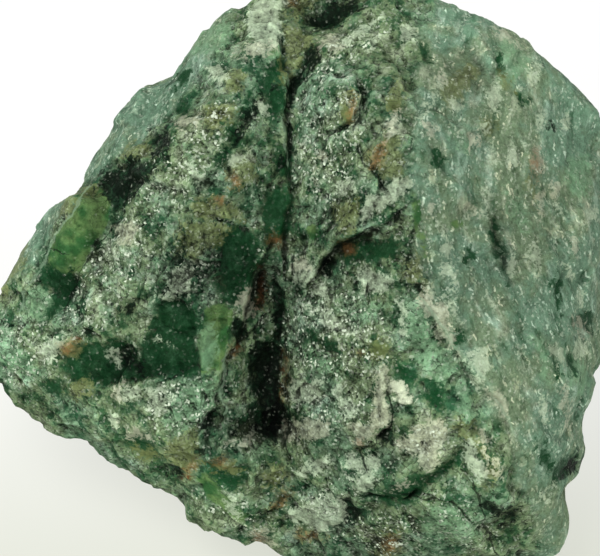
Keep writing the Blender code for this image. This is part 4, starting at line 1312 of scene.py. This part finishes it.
class JadeRock(Nodes):
    """The grains, chunks and clouds of the rock, and its colour and relief, layer by layer."""

    def __init__(self, tree, finish):
        super().__init__(tree)
        self.finish = finish
        self.place = self.vector("SCALE", self.add("ShaderNodeTexCoord").outputs["Object"], 1.0 / MM)
        self.bent = self.bend(self.place, BEND_SIZE, BEND_REACH)
        self.streaks = self.vector("MULTIPLY", self.attribute("streaks", "Vector"), STREAK_SHRINK)
        self.sugar = self.attribute("sugar")
        self.sheet = self.attribute("sheet")
        self.grain_colour = self.cells(self.place, finish.grain)
        self.chunk_colour = self.cells(self.bent, finish.chunk)
        self.bit_colour = self.cells(self.bent, finish.chunk * BIT)
        self.grain = self.split(self.grain_colour)
        self.chunk = self.split(self.chunk_colour)
        self.bit = self.split(self.bit_colour)
        self.cloud = self.noise(self.place, *CLOUDS)
        self.fray = self.minus(self.noise(self.place, *FRAY), 0.5)
        self.picked = self.minus(self.grain["Red"], 0.5)
        self.broken = self.minus(self.plus(self.chunk["Green"], self.bit["Green"]), 1.0)
        self.mottle = self.plus(
            self.noise(self.place, *MOTTLE), self.times(self.broken, CHUNK_MOTTLE),
            self.times(self.sugar, SUGAR_MOTTLE))
        self.marks = {name: self.marking(name, *edge) for name, (edge, _) in MARKINGS.items()}
        self.waxy = self.larger(self.marks["clear"], self.larger(self.marks["dark"], self.marks["deep_and_shadow"]))
        self.granular = self.lessened(self.waxy, WAXY_CALM)
        self.broken_rock = self.times(self.granular, self.lessened(self.sheet, SHEET_CALM))

    def marking(self, name, soft, ragged, blocky, granular):
        """Share of a marking: its field, frayed by noise, chunks and grains, raised from 0 to 1."""
        field = self.attribute(name)
        for amount, noise in ((ragged, self.fray), (blocky, self.broken), (granular, self.picked)):
            field = self.plus(field, self.times(noise, amount))
        return self.rise(field, -soft, soft)

    def broken_ground(self):
        """Mottled ground of the sugary and the broken rock."""
        return self.layered(
            self.finish.dark_ground,
            (self.rise(self.mottle, *LIGHT_RAMP), self.finish.light_ground),
            (self.rise(self.mottle, *PALEST_RAMP), self.finish.pale_ground))

    def sheet_ground(self):
        """Even ground of the sheets, streaked along them and flecked."""
        finish = self.finish
        streaky = self.noise(self.streaks, *STREAKS)
        sweep = self.vector("SCALE", self.vector("SUBTRACT", self.bent, self.place), SWEEP)
        swept = self.vector("ADD", self.streaks, sweep)
        return self.layered(
            finish.sheet_ground,
            (self.rise(streaky, *DARK_STREAK_RAMP), finish.dark_ground),
            (self.rise(streaky, *PALE_STREAK_RAMP), finish.pale_ground),
            (self.rise(self.mottle, *PALE_PATCH_RAMP), finish.pale),
            (self.flecks(swept, *FROST_FLECKS, self.fray), finish.frost_and_glint),
            (self.flecks(swept, *DARK_FLECKS, self.fray), finish.dark_ground))

    def tinted(self, colour):
        """The colour, yellower in some parts and bluer in others."""
        fine_hue = self.times(self.noise(self.place, *FINE_HUE), FINE_HUE_SHARE)
        hue = self.plus(self.noise(self.place, *BROAD_HUE), fine_hue)
        tint = self.mix(self.rise(hue, *COOL_RAMP), self.finish.warm, self.finish.cool)
        return self.mix(1.0, colour, tint, "MULTIPLY")

    def marked(self, colour):
        """The colour with every marking laid over it."""
        finish = self.finish
        depth = self.noise(self.place, *CLEAR_DEPTH)
        colours = {name: getattr(finish, name) for name in MARKINGS}
        colours["clear"] = self.mix(self.rise(depth, *CLEAR_RAMP), finish.clear_dark, finish.clear)
        colours["dark"] = self.mix(self.rise(self.cloud, *DARK_RAMP), finish.dark, finish.dark_ground)
        colours["deep_and_shadow"] = self.mix(self.rise(self.cloud, *DEEP_RAMP), finish.deep_and_shadow, finish.dark_ground)
        layers = [(self.times(self.marks[name], cover), colours[name])
                  for name, (_, cover) in MARKINGS.items()]
        return self.layered(colour, *layers)

    def shaded(self, colour):
        """The colour made brighter or darker grain by grain, chunk by chunk and in broad parts that are
        partly painted light and shade, with painted highlight on ridges and painted shade in crevices.
        """
        fine = self.split(self.cells(self.place, self.finish.grain * FINE_GRAIN))
        grit = self.minus(self.plus(self.grain["Red"], self.times(fine["Red"], FINE_GRIT)), GRIT_MIDDLE)
        grit = self.times(
            grit, self.plus(GRIT, self.times(self.sugar, SUGARY_GRIT)),
            self.minus(self.granular, self.times(self.sheet, SHEET_GRIT)))
        # Painted highlight on ridges and painted shade in crevices, by how far each point stands out.
        painted_ridge_light = self.times(self.attribute("ridge"), PAINTED_RIDGE_LIGHT)
        ridge_light_and_chunk_tone = self.times(self.plus(painted_ridge_light, self.times(self.broken, CHUNK_SHADE)), self.broken_rock)
        clouds = self.times(self.minus(self.cloud, 0.5), CLOUD_SHADE, self.granular)
        shade = self.plus(grit, ridge_light_and_chunk_tone, clouds, self.attribute("tone_and_painted_light"))
        return self.vector("SCALE", colour, self.larger(DARKEST, self.plus(1.0, shade)))

    def seamed(self, colour):
        """The colour with dark seams between chunks and dark gaps between grains."""
        gap = self.rise(self.plus(self.grain["Blue"], self.times(self.granular, GAP_SHARE)), *GAP_RAMP)
        seam = self.rise(self.seams(self.bent, self.finish.chunk), *SEAM_RAMP)
        seam = self.times(seam, self.rise(self.noise(self.place, *SEAM_PATCHES), *SEAM_PATCH_RAMP))
        unmarked = self.lessened(self.larger(self.marks["pale"], self.marks["cream"]), UNSEAMED)
        seam = self.times(self.larger(seam, gap), self.times(self.broken_rock, unmarked))
        return self.mix(self.times(seam, SEAM_SHARE), colour, self.finish.deep_and_shadow)

    def sparkling(self, colour):
        """The colour with bright grains in clumps, most of all where the rock is sugary: partly the pale
        grains' own colour, partly painted glints.
        """
        clump = self.noise(self.mix(self.sheet, self.place, self.streaks), *CLUMPS)
        share = self.plus(SPARKLE, self.times(self.sugar, SUGARY_SPARKLE))
        share = self.times(share, self.rise(clump, *CLUMP_RAMP), self.granular)
        rarity = self.plus(SPARKLE_RARITY, self.times(self.waxy, WAXY_RARITY))
        painted_glint = self.times(self.math("POWER", self.grain["Green"], rarity), share)
        return self.mix(painted_glint, colour, self.finish.frost_and_glint)

    def lined(self, colour):
        """The colour with the painted highlight along the rims and then the painted shade along the cracks,
        on their routes.
        """
        tones = {"lit_rim": self.finish.lit_rim, "crack": self.finish.deep_and_shadow}
        for name, (half_width, share) in LINES.items():
            away = self.plus(self.math("ABSOLUTE", self.attribute(name)), self.times(self.fray, LINE_FRAY))
            line = self.times(self.rise(away, half_width, LINE_CORE), self.attribute(name + "_near"))
            colour = self.mix(self.times(line, share), colour, tones[name])
        return colour

    def tilt(self):
        """How far the face of each grain and chunk leans from the surface."""
        grains = self.vector("SUBTRACT", self.grain_colour, (0.5, 0.5, 0.5))
        grains = self.vector("SCALE", grains, GRAIN_TILT)
        chunks = self.vector("ADD", self.chunk_colour, self.bit_colour)
        chunks = self.vector("SUBTRACT", chunks, (1.0, 1.0, 1.0))
        chunks = self.vector("SCALE", chunks, CHUNK_TILT)
        return self.vector("SCALE", self.vector("ADD", grains, chunks), self.broken_rock)

    def height(self):
        """Height of the grains, the clouds and the steps from chunk to chunk, in mm."""
        grains = self.times(self.grain["Blue"], self.granular, GRAIN_HEIGHT)
        steps = self.plus(self.chunk["Blue"], self.times(self.bit["Blue"], BIT_HEIGHT))
        steps = self.times(steps, self.broken_rock, CHUNK_HEIGHT)
        return self.plus(grains, self.times(self.cloud, CLOUD_HEIGHT), steps)


def jade_group(finish):
    """Node group that gives the jade's colour, roughness, grain tilt and fine height at each point."""
    group = bpy.data.node_groups.new("jade_rock", "ShaderNodeTree")
    rock = JadeRock(group, finish)
    ground = rock.mix(rock.sheet, rock.broken_ground(), rock.sheet_ground())
    colour = rock.shaded(rock.marked(rock.tinted(ground)))
    results = {
        "Color": rock.lined(rock.sparkling(rock.seamed(colour))),
        "Roughness": rock.minus(ROUGHNESS, rock.times(rock.waxy, WAXY_POLISH)),
        "Tilt": rock.tilt(),
        "Height": rock.height(),
    }
    kinds = {"Color": "NodeSocketColor", "Tilt": "NodeSocketVector"}
    for name in results:
        kind = kinds.get(name, "NodeSocketFloat")
        group.interface.new_socket(name, in_out="OUTPUT", socket_type=kind)
    out = rock.add("NodeGroupOutput")
    for name, value in results.items():
        rock.feed(out.inputs[name], value)
    return group


def jade_material(finish):
    """Jade rock: the group's colour and roughness, and a normal tilted grain by grain and bumped."""
    material = bpy.data.materials.new("jade_rock")
    material.use_nodes = True
    nodes = Nodes(material.node_tree)
    rock = nodes.add("ShaderNodeGroup", node_tree=jade_group(finish))
    normal = nodes.vector("ADD", nodes.add("ShaderNodeNewGeometry").outputs["Normal"], rock.outputs["Tilt"])
    normal = nodes.vector("NORMALIZE", normal, (0.0, 0.0, 0.0))
    bump = nodes.add("ShaderNodeBump")
    bump.inputs["Strength"].default_value = BUMP_STRENGTH
    bump.inputs["Distance"].default_value = MM
    nodes.feed(bump.inputs["Height"], rock.outputs["Height"])
    nodes.feed(bump.inputs["Normal"], normal)
    shader = material.node_tree.nodes["Principled BSDF"]
    shader.inputs["IOR"].default_value = JADE_IOR
    shader.inputs["Specular IOR Level"].default_value = JADE_SPECULAR
    nodes.feed(shader.inputs["Base Color"], rock.outputs["Color"])
    nodes.feed(shader.inputs["Roughness"], rock.outputs["Roughness"])
    nodes.feed(shader.inputs["Normal"], bump.outputs["Normal"])
    return material


def floor_material(stage):
    """Pale floor lit a little from below, more towards the back, as on a light table: a glow that is painted
    light, which also lightens the stone's shadow on the floor.
    """
    material = bpy.data.materials.new("studio_floor")
    material.use_nodes = True
    nodes = Nodes(material.node_tree)
    place = nodes.add("ShaderNodeSeparateXYZ")
    nodes.feed(place.inputs[0], nodes.add("ShaderNodeTexCoord").outputs["Object"])
    back = nodes.rise(place.outputs["Y"], *stage.floor_reach)
    shader = material.node_tree.nodes["Principled BSDF"]
    nodes.feed(shader.inputs["Base Color"], stage.floor)
    shader.inputs["Roughness"].default_value = FLOOR_ROUGHNESS
    shader.inputs["Specular IOR Level"].default_value = 0.0
    shader.inputs["Emission Strength"].default_value = 1.0
    nodes.feed(shader.inputs["Emission Color"], nodes.mix(back, stage.glow_front, stage.glow_back))
    return material


# ---- Operators -----------------------------------------------------------------------------

class JADE_OT_stone(bpy.types.Operator):
    """Make the stone with its broken surface and markings"""

    bl_idname = "jade.stone"
    bl_label = "Jade Stone"

    def execute(self, context):
        shape = context.scene.jade_shape
        cube, quads = cube_grid(shape.squares)
        points, fields = stone_points(starting_directions(cube), shape)
        # How far each point stands out, for the painted highlight on ridges and the painted shade in
        # crevices.
        fields["ridge"] = np.clip(ridge_field(points, quads), -RIDGE_REACH, RIDGE_REACH)
        stone = mesh_piece("jade_rock", points, quads, jade_material(context.scene.jade_finish))
        beyond = beside(RIGHT_SHEETS_EDGE, points[:, 0], points[:, 1])[0]
        add_fields(stone, fields, np.column_stack([beyond, points[:, 1:]]))
        dress(stone)
        return {"FINISHED"}


class JADE_OT_stage(bpy.types.Operator):
    """Make the floor, the lamps, the sky and the camera"""

    bl_idname = "jade.stage"
    bl_label = "Studio"

    def execute(self, context):
        stage = context.scene.jade_stage
        make_floor(stage)
        make_lamps(context.scene, stage)
        make_camera(context.scene, stage)
        context.scene.view_settings.view_transform = "Standard"
        return {"FINISHED"}


def make_floor(stage):
    """One flat square under the stone, FLOOR_HALF out each way."""
    corners = [(x * FLOOR_HALF, y * FLOOR_HALF, 0.0) for x, y in ((-1, -1), (1, -1), (1, 1), (-1, 1))]
    mesh = bpy.data.meshes.new("studio_floor")
    mesh.from_pydata(corners, [], [(0, 1, 2, 3)])
    mesh.materials.append(floor_material(stage))
    floor = bpy.data.objects.new("studio_floor", mesh)
    bpy.context.scene.collection.objects.link(floor)


def make_lamps(scene, stage):
    """An even white sky and two square lamps aimed at the stone."""
    world = bpy.data.worlds.new("studio_sky")
    world.use_nodes = True
    sky = world.node_tree.nodes["Background"]
    sky.inputs["Color"].default_value = (1.0, 1.0, 1.0, 1.0)
    sky.inputs["Strength"].default_value = stage.sky
    scene.world = world
    lamps = (("key_lamp", stage.key, KEY_PLACE), ("fill_lamp", stage.fill, FILL_PLACE))
    for name, energy, place in lamps:
        lamp = bpy.data.lights.new(name, "AREA")
        lamp.energy = energy
        lamp.size = LAMP_SIZE
        piece = bpy.data.objects.new(name, lamp)
        piece.location = place
        aim = Vector(LAMP_AIM) - piece.location
        piece.rotation_euler = aim.to_track_quat("-Z", "Y").to_euler()
        scene.collection.objects.link(piece)


def make_camera(scene, stage):
    """Looks straight at the broad face, stage.distance from the plane EYE_PLANE out of it."""
    lens = bpy.data.cameras.new("camera")
    lens.lens = stage.lens
    lens.clip_start = CLIP_START
    camera = bpy.data.objects.new("camera", lens)
    camera.location = on_the_floor([(0.0, 0.0, stage.distance + EYE_PLANE)])[0]
    camera.rotation_euler = (math.radians(FACE_LEAN_DEG), 0.0, 0.0)
    scene.collection.objects.link(camera)
    scene.camera = camera


class JADE_PT_panel(bpy.types.Panel):
    """Lists the stone's steps and what can be changed"""

    bl_label = "Jade Stone"
    bl_space_type = "VIEW_3D"
    bl_region_type = "UI"
    bl_category = "Jade Stone"

    def draw(self, context):
        scene = context.scene
        for operator in OPERATORS:
            self.layout.operator(operator.bl_idname)
        for settings in (scene.jade_shape, scene.jade_finish, scene.jade_stage):
            for name in settings.__annotations__:
                self.layout.prop(settings, name)


OPERATORS = (JADE_OT_stone, JADE_OT_stage)
SETTINGS = {"jade_shape": JadeShape, "jade_finish": JadeFinish, "jade_stage": JadeStage}


def register():
    for kind in (*SETTINGS.values(), *OPERATORS, JADE_PT_panel):
        bpy.utils.register_class(kind)
    for name, kind in SETTINGS.items():
        setattr(bpy.types.Scene, name, PointerProperty(type=kind))


def unregister():
    for name in SETTINGS:
        delattr(bpy.types.Scene, name)
    for kind in (JADE_PT_panel, *OPERATORS, *SETTINGS.values()):
        bpy.utils.unregister_class(kind)


def main():
    register()
    bpy.ops.jade.stone()
    bpy.ops.jade.stage()


if __name__ == "__main__":
    main()
